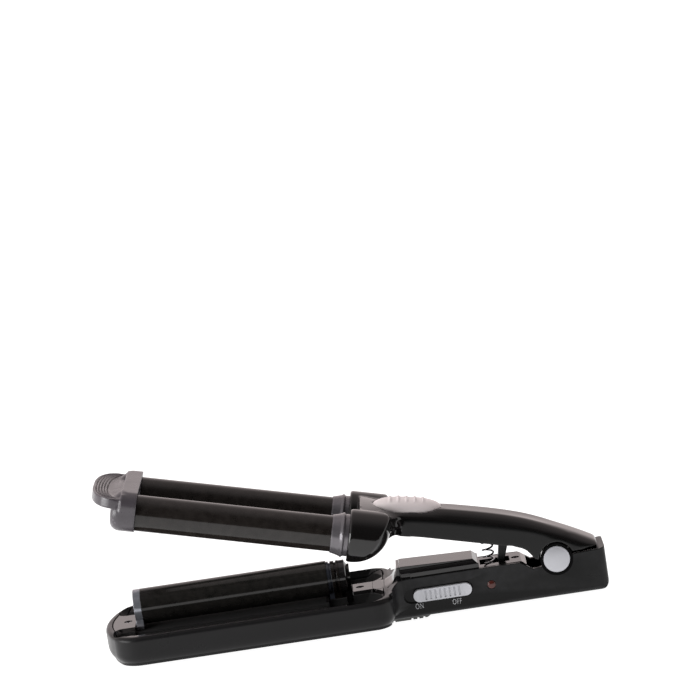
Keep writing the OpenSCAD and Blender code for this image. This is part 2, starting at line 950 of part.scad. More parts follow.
// lid of the lower handle, with the raised block in front
module handle_lid() {
    color(gloss_black)
        lower_arm()
            difference() {
                union() {
                    box([lid_front_x, -lid_half, lid_low_z], [slope_front_x, lid_half, wall_top_z]);
                    across(-lid_half, lid_half)
                        polygon([[slope_front_x, lid_low_z], [lid_rear_x, lid_low_z],
                            [lid_rear_x, lid_low_z + lid_rear_edge], [slope_front_x, wall_top_z]]);
                    intersection() {
                        across(-block_half, block_half)
                            polygon([[lid_front_x, wall_top_z], [block_rear_x, wall_top_z],
                                [block_rear_x, block_rear_z - block_edge_r],
                                [block_rear_x - block_edge_r, block_rear_z],
                                [lid_front_x, block_front_z]]);
                        along(lid_front_x, block_rear_x)
                            union() {
                                translate([-block_half, 0])
                                    square([2 * block_half, pivot_z + block_edge_r]);
                                translate([-block_half + block_edge_r / 2, 0])
                                    square([2 * block_half - block_edge_r, plenty]);
                                for (side = [-1, 1])
                                    translate([side * (block_half - block_edge_r),
                                        block_rear_z - block_edge_r])
                                        circle(r = block_edge_r);
                            }
                    }
                    box([ledge_front_x, -ledge_half, wall_top_z], [block_rear_x, ledge_half, ledge_top_z]);
                }
                box([window_front_x, -window_half, 0], [window_rear_x, window_half, plenty]);
                translate([lid_screw_x, 0, wall_top_z - screw_sunk])
                    screw_hole();
            }
}

// screw at the rear of the lid
module lid_screw() {
    color(steel)
        lower_arm()
            translate([lid_screw_x, 0, wall_top_z - screw_sunk])
                screw();
}

// grip pad under the lower handle, on which the waver stands
module lower_grip_pad() {
    color(pad_grey)
        lower_arm()
            translate([pad_mid_lower_x, 0, -pad_rise_lower])
                difference() {
                    intersection() {
                        linear_extrude(height = pad_seat_lower + pad_rise_lower)
                            stadium(pad_len, pad_w);
                        across(-pad_w, pad_w)
                            polygon([[-pad_len / 2 + pad_end_run, 0], [pad_len / 2 - pad_end_run, 0],
                                [pad_len / 2, pad_rise_lower], [pad_len / 2, plenty],
                                [-pad_len / 2, plenty], [-pad_len / 2, pad_rise_lower]]);
                    }
                    for (side = [-1, 1])
                        for (i = [1:lower_groove_pairs])
                            translate([side * (i + 0.5) * lower_groove_pitch - pad_groove_w / 2, -pad_w, -1])
                                cube([pad_groove_w, 2 * pad_w, 1 + pad_groove_deep]);
                }
}

// body of the slide switch behind the button
module switch_body() {
    color(satin_black)
        lower_arm()
            difference() {
                translate([knob_mid_x - switch_travel / 2 - switch_body_len / 2, -board_y - switch_body_t,
                    switch_z - switch_body_h / 2])
                    cube([switch_body_len, switch_body_t, switch_body_h]);
                translate([knob_mid_x - switch_travel - stem_len / 2 - stem_room_gap,
                    -board_y - switch_body_t - 1, switch_z - stem_h / 2 - stem_room_gap])
                    cube([stem_len + switch_travel + 2 * stem_room_gap, 1 + stem_room_deep,
                        stem_h + 2 * stem_room_gap]);
            }
}

// small circuit board that stands in the handle and carries the switch
module control_board() {
    color(board_green)
        lower_arm() {
            face_y = -board_y + board_t;
            box([board_front_x, -board_y, board_low_z], [board_rear_x, face_y, board_top_z]);
            for (i = [0, 1])
                translate([board_front_x + can_inset + i * can_pitch, 0, switch_z])
                    rod_y(face_y - eps, face_y + can_h, can_r);
            box([board_rear_x - chip_inset - chip_len, face_y - eps, switch_z + chip_low],
                [board_rear_x - chip_inset, face_y + chip_h, switch_z + chip_top]);
        }
}

// indicator lamp's lens, with a flange inside the wall
module indicator_lens() {
    color(lamp_red)
        lower_arm()
            translate([lamp_x, 0, switch_z]) {
                rod_y(-handle_half, -inner_half + eps, lamp_d / 2);
                rod_y(-inner_half, -inner_half + lamp_flange_t, lamp_flange_r);
                intersection() {
                    rod_y(-handle_half - lamp_proud, -handle_half + eps, lamp_d / 2);
                    translate([0, -handle_half - lamp_proud + lamp_dome_r, 0])
                        sphere(r = lamp_dome_r);
                }
            }
}

// hinge pin through both arms
module pivot_pin() {
    color(steel)
        lower_arm()
            translate([0, 0, pivot_z])
                rod_y(-handle_half + ear_recess, handle_half - ear_recess, pin_r);
}

// domed caps over both ends of the hinge pin
module pivot_caps() {
    color(cap_silver)
        lower_arm()
            translate([0, 0, pivot_z])
                both_sides()
                    intersection() {
                        rod_y(handle_half - ear_recess, handle_half + cap_dome_h, cap_disc_r);
                        translate([0, handle_half - ear_recess + cap_disc_t + cap_dome_h - cap_dome_r, 0])
                            sphere(r = cap_dome_r, $fn = 360);
                    }
}

// wire of the coil spring, a round section swept up a helix with level ends
module spring_wire(low, high) {
    count = spring_turns * spring_steps;
    function rise(i) = let (t = (i / count - spring_level) / (1 - 2 * spring_level))
        low + (high - low) * min(1, max(0, t)) + spring_creep * i;
    points = [for (i = [0:count]) for (k = [0:spring_sides - 1])
        let (a = i * 360 / spring_steps, b = k * 360 / spring_sides,
            r = spring_r + spring_wire_r * cos(b))
        [r * cos(a), r * sin(a), rise(i) + spring_wire_r * sin(b)]];
    sides = [for (i = [0:count - 1]) for (k = [0:spring_sides - 1])
        let (n = (k + 1) % spring_sides, a = i * spring_sides, b = a + spring_sides)
        [a + k, a + n, b + n, b + k]];
    first = [for (k = [spring_sides - 1:-1:0]) k];
    last = [for (k = [0:spring_sides - 1]) count * spring_sides + k];
    polyhedron(points = points, faces = concat(sides, [first], [last]));
}

// spring that holds the arms apart
module arm_spring() {
    color(steel)
        lower_arm()
            translate([spring_x, 0, 0])
                spring_wire(spring_low_z + spring_wire_r, spring_top_z - spring_wire_r);
}

// bushing at the cord's entry in the rear wall
module cord_bushing() {
    color(satin_black)
        lower_arm()
            translate([0, 0, bushing_z])
                difference() {
                    union() {
                        rod_x(rear_x - rear_wall - bushing_flange, rear_x - bushing_sunk, bushing_r);
                        rod_x(rear_x - rear_wall - bushing_flange, rear_x - rear_wall, bushing_r + 1);
                    }
                    rod_x(rear_x - plenty, rear_x + plenty, cord_bore_d / 2);
                }
}

// ridged switch button in the side of the handle
module switch_slider() {
    color(knob_silver)
        lower_arm()
            difference() {
                union() {
                    translate([knob_mid_x, -handle_half - knob_proud, switch_z])
                        rotate([-90, 0, 0])
                            linear_extrude(height = knob_proud + knob_slot_deep - slot_gap)
                                stadium(switch_len, switch_h);
                    box([knob_mid_x - stem_len / 2, -handle_half, switch_z - stem_h / 2],
                        [knob_mid_x + stem_len / 2, -handle_half + stem_in, switch_z + stem_h / 2]);
                }
                for (i = [0:knob_grooves - 1])
                    translate([knob_mid_x + (i - (knob_grooves - 1) / 2) * knob_groove_pitch,
                        -handle_half - knob_proud, switch_z])
                        cube([knob_groove_w, 2 * knob_groove_deep, switch_h - 2 * knob_groove_inset],
                            center = true);
            }
}

// profiles of the upper housing: place along X, value
half_widths = [[-89.5, 17.5], [-86, 17.6], [-82.5, 16.6], [-79, 14], [-75.5, 11.7], [-72, 10.9],
    [-69, handle_half], [-66, handle_half], [6, handle_half], [9, handle_half],
    [tail_x, handle_half - 0.4]];
side_heights = [[-89.5, 12.9], [-84, 12.4], [-79, 11], [-75, 9.7], [-70, 9.5], [-50, 10.2],
    [-26, 10.6], [-14, 10.7], [-5, 9.5], [3, 8], [10, 6.9], [tail_x, 5.4]];
crown_heights = [[-89.5, 14.2], [-84, 14.2], [-78, 14.3], [-70, 15.2], [-60, 16.3], [-48, 17],
    [-30, 17.2], [-18, 16.6], [-6, 15], [4, 13.2], [12, 11.4], [tail_x, 9.9]];

// lower edge of the upper housing's sides
upper_edge = [[yoke_front_x, -1.1], [-79.5, -1.1], [-76, 0.6], [-72.5, 2.2], [-65, 3.1], [-59.7, 3.3],
    [-23.6, 3.4], [-20.5, 3.7], [-15.5, 3], [-13.6, 2.3], [-11.1, 0.3], [-9.6, -1],
    [-6.6, -1.6], [0, 0], [7, 4.4], [tail_x, 7.6]];

// value of a profile at x, on a smooth curve through its points
function step_of(p, x, i = 0) = i >= len(p) - 2 || x < p[i + 1][0] ? i : step_of(p, x, i + 1);
function slope_of(p, i) = let (a = max(0, i - 1), b = min(len(p) - 1, i + 1))
    (p[b][1] - p[a][1]) / (p[b][0] - p[a][0]);
function value_at(p, x) = let (i = step_of(p, x), run = p[i + 1][0] - p[i][0], t = (x - p[i][0]) / run)
    (1 + 2 * t) * pow(1 - t, 2) * p[i][1] + t * pow(1 - t, 2) * run * slope_of(p, i)
    + t * t * (3 - 2 * t) * p[i + 1][1] - t * t * (1 - t) * run * slope_of(p, i + 1);

// an arched body along X: straight sides and an elliptical crown, made thinner by wall
module arched(x0, x1, steps, wall, most) {
    low = wall > 0 ? 2 * arch_low : arch_low;
    ring = arch_steps + 3;
    points = [for (i = [0:steps])
        let (x = x0 + (x1 - x0) * i / steps,
            w = min(value_at(half_widths, x) - wall, most),
            side = value_at(side_heights, x), crown = value_at(crown_heights, x) - wall)
        for (p = concat([[-w, low]],
            [for (k = [0:arch_steps]) let (a = 180 - k * 180 / arch_steps)
                [w * cos(a), side + (crown - side) * sin(a)]], [[w, low]]))
            [x, p[0], p[1]]];
    skin = [for (i = [0:steps - 1]) for (k = [0:ring - 1])
        let (n = (k + 1) % ring, a = i * ring, b = a + ring)
        each [[a + k, a + n, b + n], [a + k, b + n, b + k]]];
    front = [for (k = [ring - 1:-1:0]) k];
    back = [for (k = [0:ring - 1]) steps * ring + k];
    polyhedron(points = points, faces = concat(skin, [front], [back]));
}

// all that lies below the lower edge of the upper housing, and the room round the hinge ears
module below_upper_edge() {
    across(-plenty, plenty)
        polygon(concat([[yoke_front_x * 2, upper_edge[0][1]]], upper_edge,
            [[tail_x * 2, upper_edge[len(upper_edge) - 1][1]], [tail_x * 2, -plenty],
            [yoke_front_x * 2, -plenty]]));
    rod_y(-plenty, plenty, ear_r + ear_gap);
}

// cup that holds the rear of an upper barrel, with a chamfer round its mouth
module cup() {
    translate([0, half_spacing, upper_axis_rise])
        intersection() {
            cup_body(cup_front_x, 0);
            turned_x()
                polygon([[0, cup_front_x], [cup_r - cup_edge, cup_front_x], [cup_r, cup_front_x + cup_edge],
                    [cup_r, 0], [0, 0]]);
        }
}

// the hollow inside the upper handle
module upper_hollow() {
    intersection() {
        arched(hollow_front_x, tail_x - tail_wall, hollow_steps, upper_wall, upper_inner);
        across(-plenty, plenty)
            polygon([[-plenty * 2, -plenty], [-plenty * 2, hollow_top], [hollow_step_x, hollow_top],
                [hollow_step_x, plenty], [plenty, plenty], [plenty, -plenty]]);
    }
}

// upper shell: cups, yoke, arched handle and hinge tongue
module upper_housing() {
    color(gloss_black)
        upper_arm()
            difference() {
                union() {
                    difference() {
                        arched(yoke_front_x, tail_x, shell_steps, 0, plenty);
                        upper_hollow();
                        below_upper_edge();
                    }
                    both_sides()
                        cup();
                    rod_y(-tongue_half, tongue_half, tongue_r);
                    box([-tongue_web, -tongue_half, 0], [tongue_web, tongue_half, tongue_top]);
                }
                rod_y(-plenty, plenty, pin_r + run_gap);
                both_sides()
                    translate([0, half_spacing, upper_axis_rise])
                        rod_x(cup_front_x - 1, cup_front_x + socket_deep, barrel_r + fit_gap);
                translate([pad_mid_upper_x, 0, pad_seat_upper])
                    linear_extrude(height = plenty)
                        stadium(pad_len + 2 * fit_gap, pad_w + 2 * fit_gap);
            }
}

// flat cover inside the upper handle, with the lug beside the spring
module upper_cover() {
    color(satin_black)
        upper_arm()
            difference() {
                union() {
                    box([cover_front_x, -cover_half, cover_low],
                        [cover_rear_x, cover_half, cover_low + cover_thick]);
                    across(-lug_half, lug_half)
                        polygon([[lug_front_x, cover_low + eps], [lug_rear_x, cover_low + eps],
                            [lug_front_x + lug_lean + lug_tip_len, lug_low],
                            [lug_front_x + lug_lean, lug_low]]);
                }
                for (x = cover_screw_xs)
                    translate([x, 0, cover_low + screw_sunk])
                        mirror([0, 0, 1])
                            screw_hole();
            }
}

// screws of the cover
module cover_screws() {
    color(steel)
        upper_arm()
            for (x = cover_screw_xs)
                translate([x, 0, cover_low + screw_sunk])
                    mirror([0, 0, 1])
                        screw();
}

// ribbed oval grip pad on top of the upper arm
module upper_grip_pad() {
    color(pad_grey)
        upper_arm()
            difference() {
                intersection() {
                    translate([pad_mid_upper_x, 0, pad_seat_upper])
                        linear_extrude(height = plenty)
                            stadium(pad_len, pad_w);
                    translate([0, 0, pad_top_upper - pad_cross_r])
                        rod_x(-plenty * 2, plenty, pad_cross_r);
                    translate([pad_mid_upper_x, 0, pad_top_upper - pad_length_r])
                        rod_y(-plenty, plenty, pad_length_r);
                }
                for (i = [0:pad_grooves - 1])
                    translate([pad_mid_upper_x + (i - (pad_grooves - 1) / 2) * pad_pitch, 0,
                        pad_top_upper - pad_cross_r])
                        intersection() {
                            difference() {
                                rod_x(-pad_groove_w / 2, pad_groove_w / 2, pad_cross_r + 1);
                                rod_x(-1, 1, pad_cross_r - pad_groove_deep);
                            }
                            box([-1, -pad_w / 2 + pad_groove_inset, 0],
                                [1, pad_w / 2 - pad_groove_inset, plenty]);
                        }
            }
}

// barrel of the upper arm, on the far side
module upper_barrel() {
    color(barrel_black)
        upper_arm()
            translate([0, half_spacing, upper_axis_rise])
                barrel_tube(cap_rear_x, cup_front_x + socket_deep - seat_gap);
}

// barrel on the near side
module upper_barrel_near() {
    mirror([0, 1, 0])
        upper_barrel();
}

// barrel on the far side
module upper_barrel_far() {
    upper_barrel();
}

// flared collar round the rear of an upper barrel
module upper_collar() {
    bore = barrel_r + fit_gap;
    color(trim_grey)
        upper_arm()
            translate([0, half_spacing, upper_axis_rise])
                turned_x()
                    polygon([[bore, collar_front_x], [collar_lip_r, collar_front_x],
                        [collar_lip_r + collar_edge, collar_front_x + collar_round],
                        [collar_r - 2 * collar_edge, collar_ridge_x - collar_round],
                        [collar_r, collar_ridge_x - collar_edge], [collar_r, collar_ridge_x],
                        [collar_band_r, collar_ridge_x + collar_step],
                        [collar_band_r, collar_rear_x], [bore, collar_rear_x]]);
}

// collar on the near side
module upper_collar_near() {
    mirror([0, 1, 0])
        upper_collar();
}

// collar on the far side
module upper_collar_far() {
    upper_collar();
}

// heating element of an upper barrel
module upper_heater() {
    color(ceramic)
        upper_arm()
            translate([0, half_spacing, upper_axis_rise])
                heater(cup_front_x + socket_deep - seat_gap);
}

// heating element on the near side
module upper_heater_near() {
    mirror([0, 1, 0])
        upper_heater();
}

// heating element on the far side
module upper_heater_far() {
    upper_heater();
}

// section of the paddle: distance from the middle of its bow, and height
module paddle_section() {
    flat_r = paddle_arc_r - paddle_low_edge_r;
    square([flat_r, paddle_thick]);
    translate([0, paddle_low_edge_r])
        square([paddle_arc_r, paddle_thick - paddle_low_edge_r - paddle_top_edge_r]);
    translate([0, paddle_low_edge_r])
        square([paddle_arc_r - paddle_top_edge_r, paddle_thick - paddle_low_edge_r]);
    translate([flat_r, paddle_low_edge_r])
        circle(r = paddle_low_edge_r);
    translate([paddle_arc_r - paddle_top_edge_r, paddle_thick - paddle_top_edge_r])
        circle(r = paddle_top_edge_r);
}

// thumb paddle in front of the end cap, with bowed grooves
module paddle() {
    low = paddle_top - paddle_thick;
    difference() {
        intersection() {
            translate([paddle_arc_x, 0, low])
                rotate_extrude()
                    paddle_section();
            box([paddle_front_x - 1, -paddle_half_w, low - 1],
                [cap_crest_x, paddle_half_w, paddle_top + 1]);
        }
        for (i = [0:paddle_grooves - 1])
            translate([paddle_arc_x, 0, paddle_top - paddle_groove_deep])
                difference() {
                    groove_r = paddle_arc_r - paddle_groove_start - i * paddle_groove_step;
                    cylinder(h = 1, r = groove_r);
                    translate([0, 0, -1])
                        cylinder(h = 3, r = groove_r - paddle_groove_w);
                }
    }
}

// hollow sweep from the paddle up to the crest of the end cap
module paddle_sweep() {
    low = paddle_top - paddle_thick / 2;
    intersection() {
        across(-paddle_half_w, paddle_half_w)
            difference() {
                translate([paddle_sweep_x, low])
                    square([cap_crest_x + web_sunk - paddle_sweep_x, web_top - low]);
                translate([paddle_sweep_x, paddle_top + paddle_sweep_r])
                    circle(r = paddle_sweep_r);
            }
        along(paddle_sweep_x - 1, cap_rear_x)
            translate([0, cap_axis_rise])
                stadium(barrel_spacing + 2 * (cap_r - web_sunk), 2 * (cap_r - web_sunk));
    }
}

// body between the two barrel caps, cut away behind for the lower barrel
module cap_web() {
    rear = cap_rear_x - web_rear_sunk;
    difference() {
        across(-half_spacing, half_spacing)
            difference() {
                translate([cap_front_x + web_sunk, web_low])
                    square([rear - cap_front_x - web_sunk, web_top - web_low]);
                difference() {
                    translate([cap_front_x - 1, web_top - cap_edge_r])
                        square([cap_edge_r + web_sunk + 1, cap_edge_r + 1]);
                    translate([cap_crest_x + web_sunk, web_top - cap_edge_r])
                        circle(r = cap_edge_r);
                }
            }
        box([web_back_x, -web_gap_half, -plenty], [0, web_gap_half, plenty]);
        box([web_back_x, -half_spacing - 1, -plenty], [0, half_spacing + 1, cap_axis_rise]);
    }
}

// cap over the front of both upper barrels, with the thumb paddle
module end_cap() {
    color(trim_grey)
        upper_arm() {
            both_sides() {
                translate([0, half_spacing, cap_axis_rise])
                    barrel_cap(0);
                translate([0, half_spacing, upper_axis_rise])
                    rod_x(cap_rear_x - 1, cap_rear_x + cap_spigot, tube_inner_r - fit_gap);
            }
            cap_web();
            paddle();
            paddle_sweep();
        }
}

lower_housing();
tray_deck();
deck_ramp();
deck_screws();
lower_barrel();
lower_front_cap();
lower_rear_collar();
lower_barrel_holder();
lower_heater();
handle_lid();
lid_screw();
lower_grip_pad();
switch_body();
control_board();
indicator_lens();
pivot_pin();
pivot_caps();
arm_spring();
cord_bushing();
switch_slider();
upper_housing();
upper_cover();
cover_screws();
upper_grip_pad();
upper_barrel_near();
upper_barrel_far();
upper_collar_near();
upper_collar_far();
upper_heater_near();
upper_heater_far();
end_cap();
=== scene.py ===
import json
import math

import bmesh
import bpy
import numpy as np
from mathutils import Matrix, Vector


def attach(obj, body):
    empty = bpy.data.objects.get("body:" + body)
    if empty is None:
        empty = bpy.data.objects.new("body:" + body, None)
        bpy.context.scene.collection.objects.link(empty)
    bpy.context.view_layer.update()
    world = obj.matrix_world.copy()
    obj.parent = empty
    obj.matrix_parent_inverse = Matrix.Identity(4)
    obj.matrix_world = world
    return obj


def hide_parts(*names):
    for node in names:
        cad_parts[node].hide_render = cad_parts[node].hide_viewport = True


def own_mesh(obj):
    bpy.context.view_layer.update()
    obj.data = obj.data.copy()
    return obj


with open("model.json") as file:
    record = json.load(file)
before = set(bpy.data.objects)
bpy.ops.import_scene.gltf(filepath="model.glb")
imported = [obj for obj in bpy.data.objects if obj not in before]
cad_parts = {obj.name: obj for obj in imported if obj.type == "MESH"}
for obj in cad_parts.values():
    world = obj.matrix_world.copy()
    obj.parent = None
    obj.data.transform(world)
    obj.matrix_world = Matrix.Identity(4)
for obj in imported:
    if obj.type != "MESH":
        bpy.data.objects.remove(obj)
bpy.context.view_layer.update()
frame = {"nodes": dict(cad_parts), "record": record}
nodes = frame["nodes"]
print("frame loaded:", len(nodes), "nodes")

mm = 0.001


def jointNamed(name):
    return next(j for j in frame["record"]["behaviour"]["joints"] if j["name"] == name)


hinge = Vector(jointNamed("arm_hinge")["pos_m"])
openAngle = math.radians(15.0)


def lowerPoint(x, y, z):
    # millimetres from the hinge pin, along the lower arm
    return hinge + Vector((x, y, z)) * mm


# from millimetres along either arm to the part's own frame
armTurn = Matrix(((math.cos(openAngle), 0, math.sin(openAngle), 0), (0, 1, 0, 0),
                  (-math.sin(openAngle), 0, math.cos(openAngle), 0), (0, 0, 0, 1)))
lowerToPart = Matrix.Translation(hinge) @ Matrix.Scale(mm, 4)
upperToPart = Matrix.Translation(hinge) @ armTurn @ Matrix.Scale(mm, 4)


def addPrism(bm, outline, place):
    # a closed prism; place turns an outline point and an end, 0 or 1, into a point
    ends = [[bm.verts.new(place(a, b, end)) for a, b in outline] for end in (0, 1)]
    bm.faces.new(list(reversed(ends[0])))
    bm.faces.new(ends[1])
    for i in range(len(outline)):
        j = (i + 1) % len(outline)
        bm.faces.new((ends[0][i], ends[0][j], ends[1][j], ends[1][i]))


def addTurned(bm, profile, middle, sides):
    # a closed body turned about a line along X; profile holds places along X with their radii
    rings = []
    for x, radius in profile:
        rings.append([bm.verts.new((x, middle[0] + radius * math.cos(math.tau * k / sides),
                                    middle[1] + radius * math.sin(math.tau * k / sides)))
                      for k in range(sides)])
    for lower, upper in zip(rings, rings[1:]):
        for k in range(sides):
            n = (k + 1) % sides
            bm.faces.new((lower[k], lower[n], upper[n], upper[k]))
    bm.faces.new(list(reversed(rings[0])))
    bm.faces.new(rings[-1])


def pieceFrom(bm, name):
    bmesh.ops.recalc_face_normals(bm, faces=bm.faces)
    mesh = bpy.data.meshes.new(name)
    bm.to_mesh(mesh)
    bm.free()
    piece = bpy.data.objects.new(name, mesh)
    bpy.context.collection.objects.link(piece)
    return piece


def evened(piece, voxel):
    # one skin of even quads over everything in the piece, in its own units
    remesh = piece.modifiers.new("even", "REMESH")
    remesh.mode = "VOXEL"
    remesh.voxel_size = voxel
    remesh.use_smooth_shade = True
    bpy.context.view_layer.update()
    depsgraph = bpy.context.evaluated_depsgraph_get()
    made = bpy.data.meshes.new_from_object(piece.evaluated_get(depsgraph))
    piece.modifiers.clear()
    piece.data = made
    made.name = piece.name


def readPoints(mesh):
    flat = np.zeros(len(mesh.vertices) * 3, np.float32)
    mesh.vertices.foreach_get("co", flat)
    return flat.reshape(-1, 3).astype(float)


def writePoints(mesh, points):
    mesh.vertices.foreach_set("co", points.astype(np.float32).ravel())
    mesh.update()


def relaxed(mesh, points, weight, rounds):
    # moves each point towards the mean of its neighbours, by its own weight
    pairs = np.zeros(len(mesh.edges) * 2, np.int32)
    mesh.edges.foreach_get("vertices", pairs)
    pairs = pairs.reshape(-1, 2)
    count = np.bincount(pairs.ravel(), minlength=len(points)).astype(float)
    for _ in range(rounds):
        total = np.stack([np.bincount(pairs[:, 0], points[pairs[:, 1], k], len(points))
                          + np.bincount(pairs[:, 1], points[pairs[:, 0], k], len(points))
                          for k in range(3)], axis=1)
        points = points + weight[:, None] * (total / count[:, None] - points)
    return points


def easing(value, start, end):
    t = np.clip((value - start) / (end - start), 0, 1)
    return t * t * (3 - 2 * t)


def bump1d(value, middle, half):
    # 1 at the middle, easing to 0 at half on either side
    return easing(half - np.abs(value - middle), 0, half)


def newGroup(name, inputs, outputs):
    group = bpy.data.node_groups.new(name, "ShaderNodeTree")
    for label, kind, value in inputs:
        socket = group.interface.new_socket(name=label, in_out="INPUT", socket_type=kind)
        socket.default_value = value
    for label, kind in outputs:
        group.interface.new_socket(name=label, in_out="OUTPUT", socket_type=kind)
    return group, group.nodes.new("NodeGroupInput"), group.nodes.new("NodeGroupOutput")


def addNode(tree, kind, place=(0, 0), **values):
    node = tree.nodes.new(kind)
    node.location = place
    for key, value in values.items():
        if hasattr(node, key):
            setattr(node, key, value)
        else:
            node.inputs[key].default_value = value
    return node


# settings of the shared effects
effects = {
    "fineNoise": {"Detail": 3.0, "Roughness": 0.6},
    "slowNoise": {"Detail": 2.0, "Roughness": 0.5},
    "edgeRange": {"From Min": 0.52, "From Max": 0.62},
    "wearNoise": {"Detail": 4.0},
    "wearBreakUp": 300.0,
    "smearStretch": (1.0, 2.2, 1.4),
    "smearNoise": {"Detail": 5.0, "Roughness": 0.65, "Distortion": 0.6},
    "smearRange": {"From Min": 0.35, "From Max": 0.7},
}


def makeMouldGrain():
    # fine moulded texture with a slow variation under it
    group, gin, gout = newGroup(
        "mouldGrain",
        [("Fine Scale", "NodeSocketFloat", 900.0), ("Slow Scale", "NodeSocketFloat", 40.0)],
        [("Height", "NodeSocketFloat"), ("Variation", "NodeSocketFloat")])
    coords = addNode(group, "ShaderNodeTexCoord", (-800, 0))
    fine = addNode(group, "ShaderNodeTexNoise", (-500, 150), **effects["fineNoise"])
    slow = addNode(group, "ShaderNodeTexNoise", (-500, -150), **effects["slowNoise"])
    group.links.new(coords.outputs["Object"], fine.inputs["Vector"])
    group.links.new(coords.outputs["Object"], slow.inputs["Vector"])
    group.links.new(gin.outputs["Fine Scale"], fine.inputs["Scale"])
    group.links.new(gin.outputs["Slow Scale"], slow.inputs["Scale"])
    group.links.new(fine.outputs["Fac"], gout.inputs["Height"])
    group.links.new(slow.outputs["Fac"], gout.inputs["Variation"])
    return group


def makeEdgeWear():
    # a mask that is 1 on convex edges, broken up by noise
    group, gin, gout = newGroup(
        "edgeWear",
        [("Amount", "NodeSocketFloat", 0.5), ("Break Up", "NodeSocketFloat", effects["wearBreakUp"])],
        [("Mask", "NodeSocketFloat")])
    geometry = addNode(group, "ShaderNodeNewGeometry", (-900, 100))
    ramp = addNode(group, "ShaderNodeMapRange", (-650, 100), **effects["edgeRange"])
    coords = addNode(group, "ShaderNodeTexCoord", (-900, -200))
    noise = addNode(group, "ShaderNodeTexNoise", (-650, -200), **effects["wearNoise"])
    times = addNode(group, "ShaderNodeMath", (-400, 0), operation="MULTIPLY")
    amount = addNode(group, "ShaderNodeMath", (-200, 0), operation="MULTIPLY")
    group.links.new(geometry.outputs["Pointiness"], ramp.inputs["Value"])
    group.links.new(coords.outputs["Object"], noise.inputs["Vector"])
    group.links.new(gin.outputs["Break Up"], noise.inputs["Scale"])
    group.links.new(ramp.outputs["Result"], times.inputs[0])
    group.links.new(noise.outputs["Fac"], times.inputs[1])
    group.links.new(times.outputs["Value"], amount.inputs[0])
    group.links.new(gin.outputs["Amount"], amount.inputs[1])
    group.links.new(amount.outputs["Value"], gout.inputs["Mask"])
    return group


def makeHandMarks():
    # soft smears that change the roughness a little
    group, gin, gout = newGroup(
        "handMarks",
        [("Smooth", "NodeSocketFloat", 0.2), ("Rough", "NodeSocketFloat", 0.3),
         ("Scale", "NodeSocketFloat", 60.0)],
        [("Roughness", "NodeSocketFloat")])
    coords = addNode(group, "ShaderNodeTexCoord", (-900, 0))
    stretch = addNode(group, "ShaderNodeMapping", (-700, 0), Scale=effects["smearStretch"])
    noise = addNode(group, "ShaderNodeTexNoise", (-480, 0), **effects["smearNoise"])
    spread = addNode(group, "ShaderNodeMapRange", (-250, 0), **effects["smearRange"])
    group.links.new(coords.outputs["Object"], stretch.inputs["Vector"])
    group.links.new(stretch.outputs["Vector"], noise.inputs["Vector"])
    group.links.new(gin.outputs["Scale"], noise.inputs["Scale"])
    group.links.new(noise.outputs["Fac"], spread.inputs["Value"])
    group.links.new(gin.outputs["Smooth"], spread.inputs["To Min"])
    group.links.new(gin.outputs["Rough"], spread.inputs["To Max"])
    group.links.new(spread.outputs["Result"], gout.inputs["Roughness"])
    return group


mouldGrain = makeMouldGrain()
edgeWear = makeEdgeWear()
handMarks = makeHandMarks()
print("shared effects made")


def placeGroup(tree, group, place, **values):
    node = tree.nodes.new("ShaderNodeGroup")
    node.node_tree = group
    node.location = place
    for key, value in values.items():
        node.inputs[key.replace("_", " ")].default_value = value
    return node


# what a look has where it says nothing itself
plainLook = {"slowScale": 45.0, "wear": 0.4, "marksScale": 60.0, "fadeAxis": "X", "edge": 0.3,
             "edgeSamples": 6, "bumpReach": 0.05, "metal": 0.0, "ior": 1.5, "coat": 0.0,
             "coatRough": 0.1}


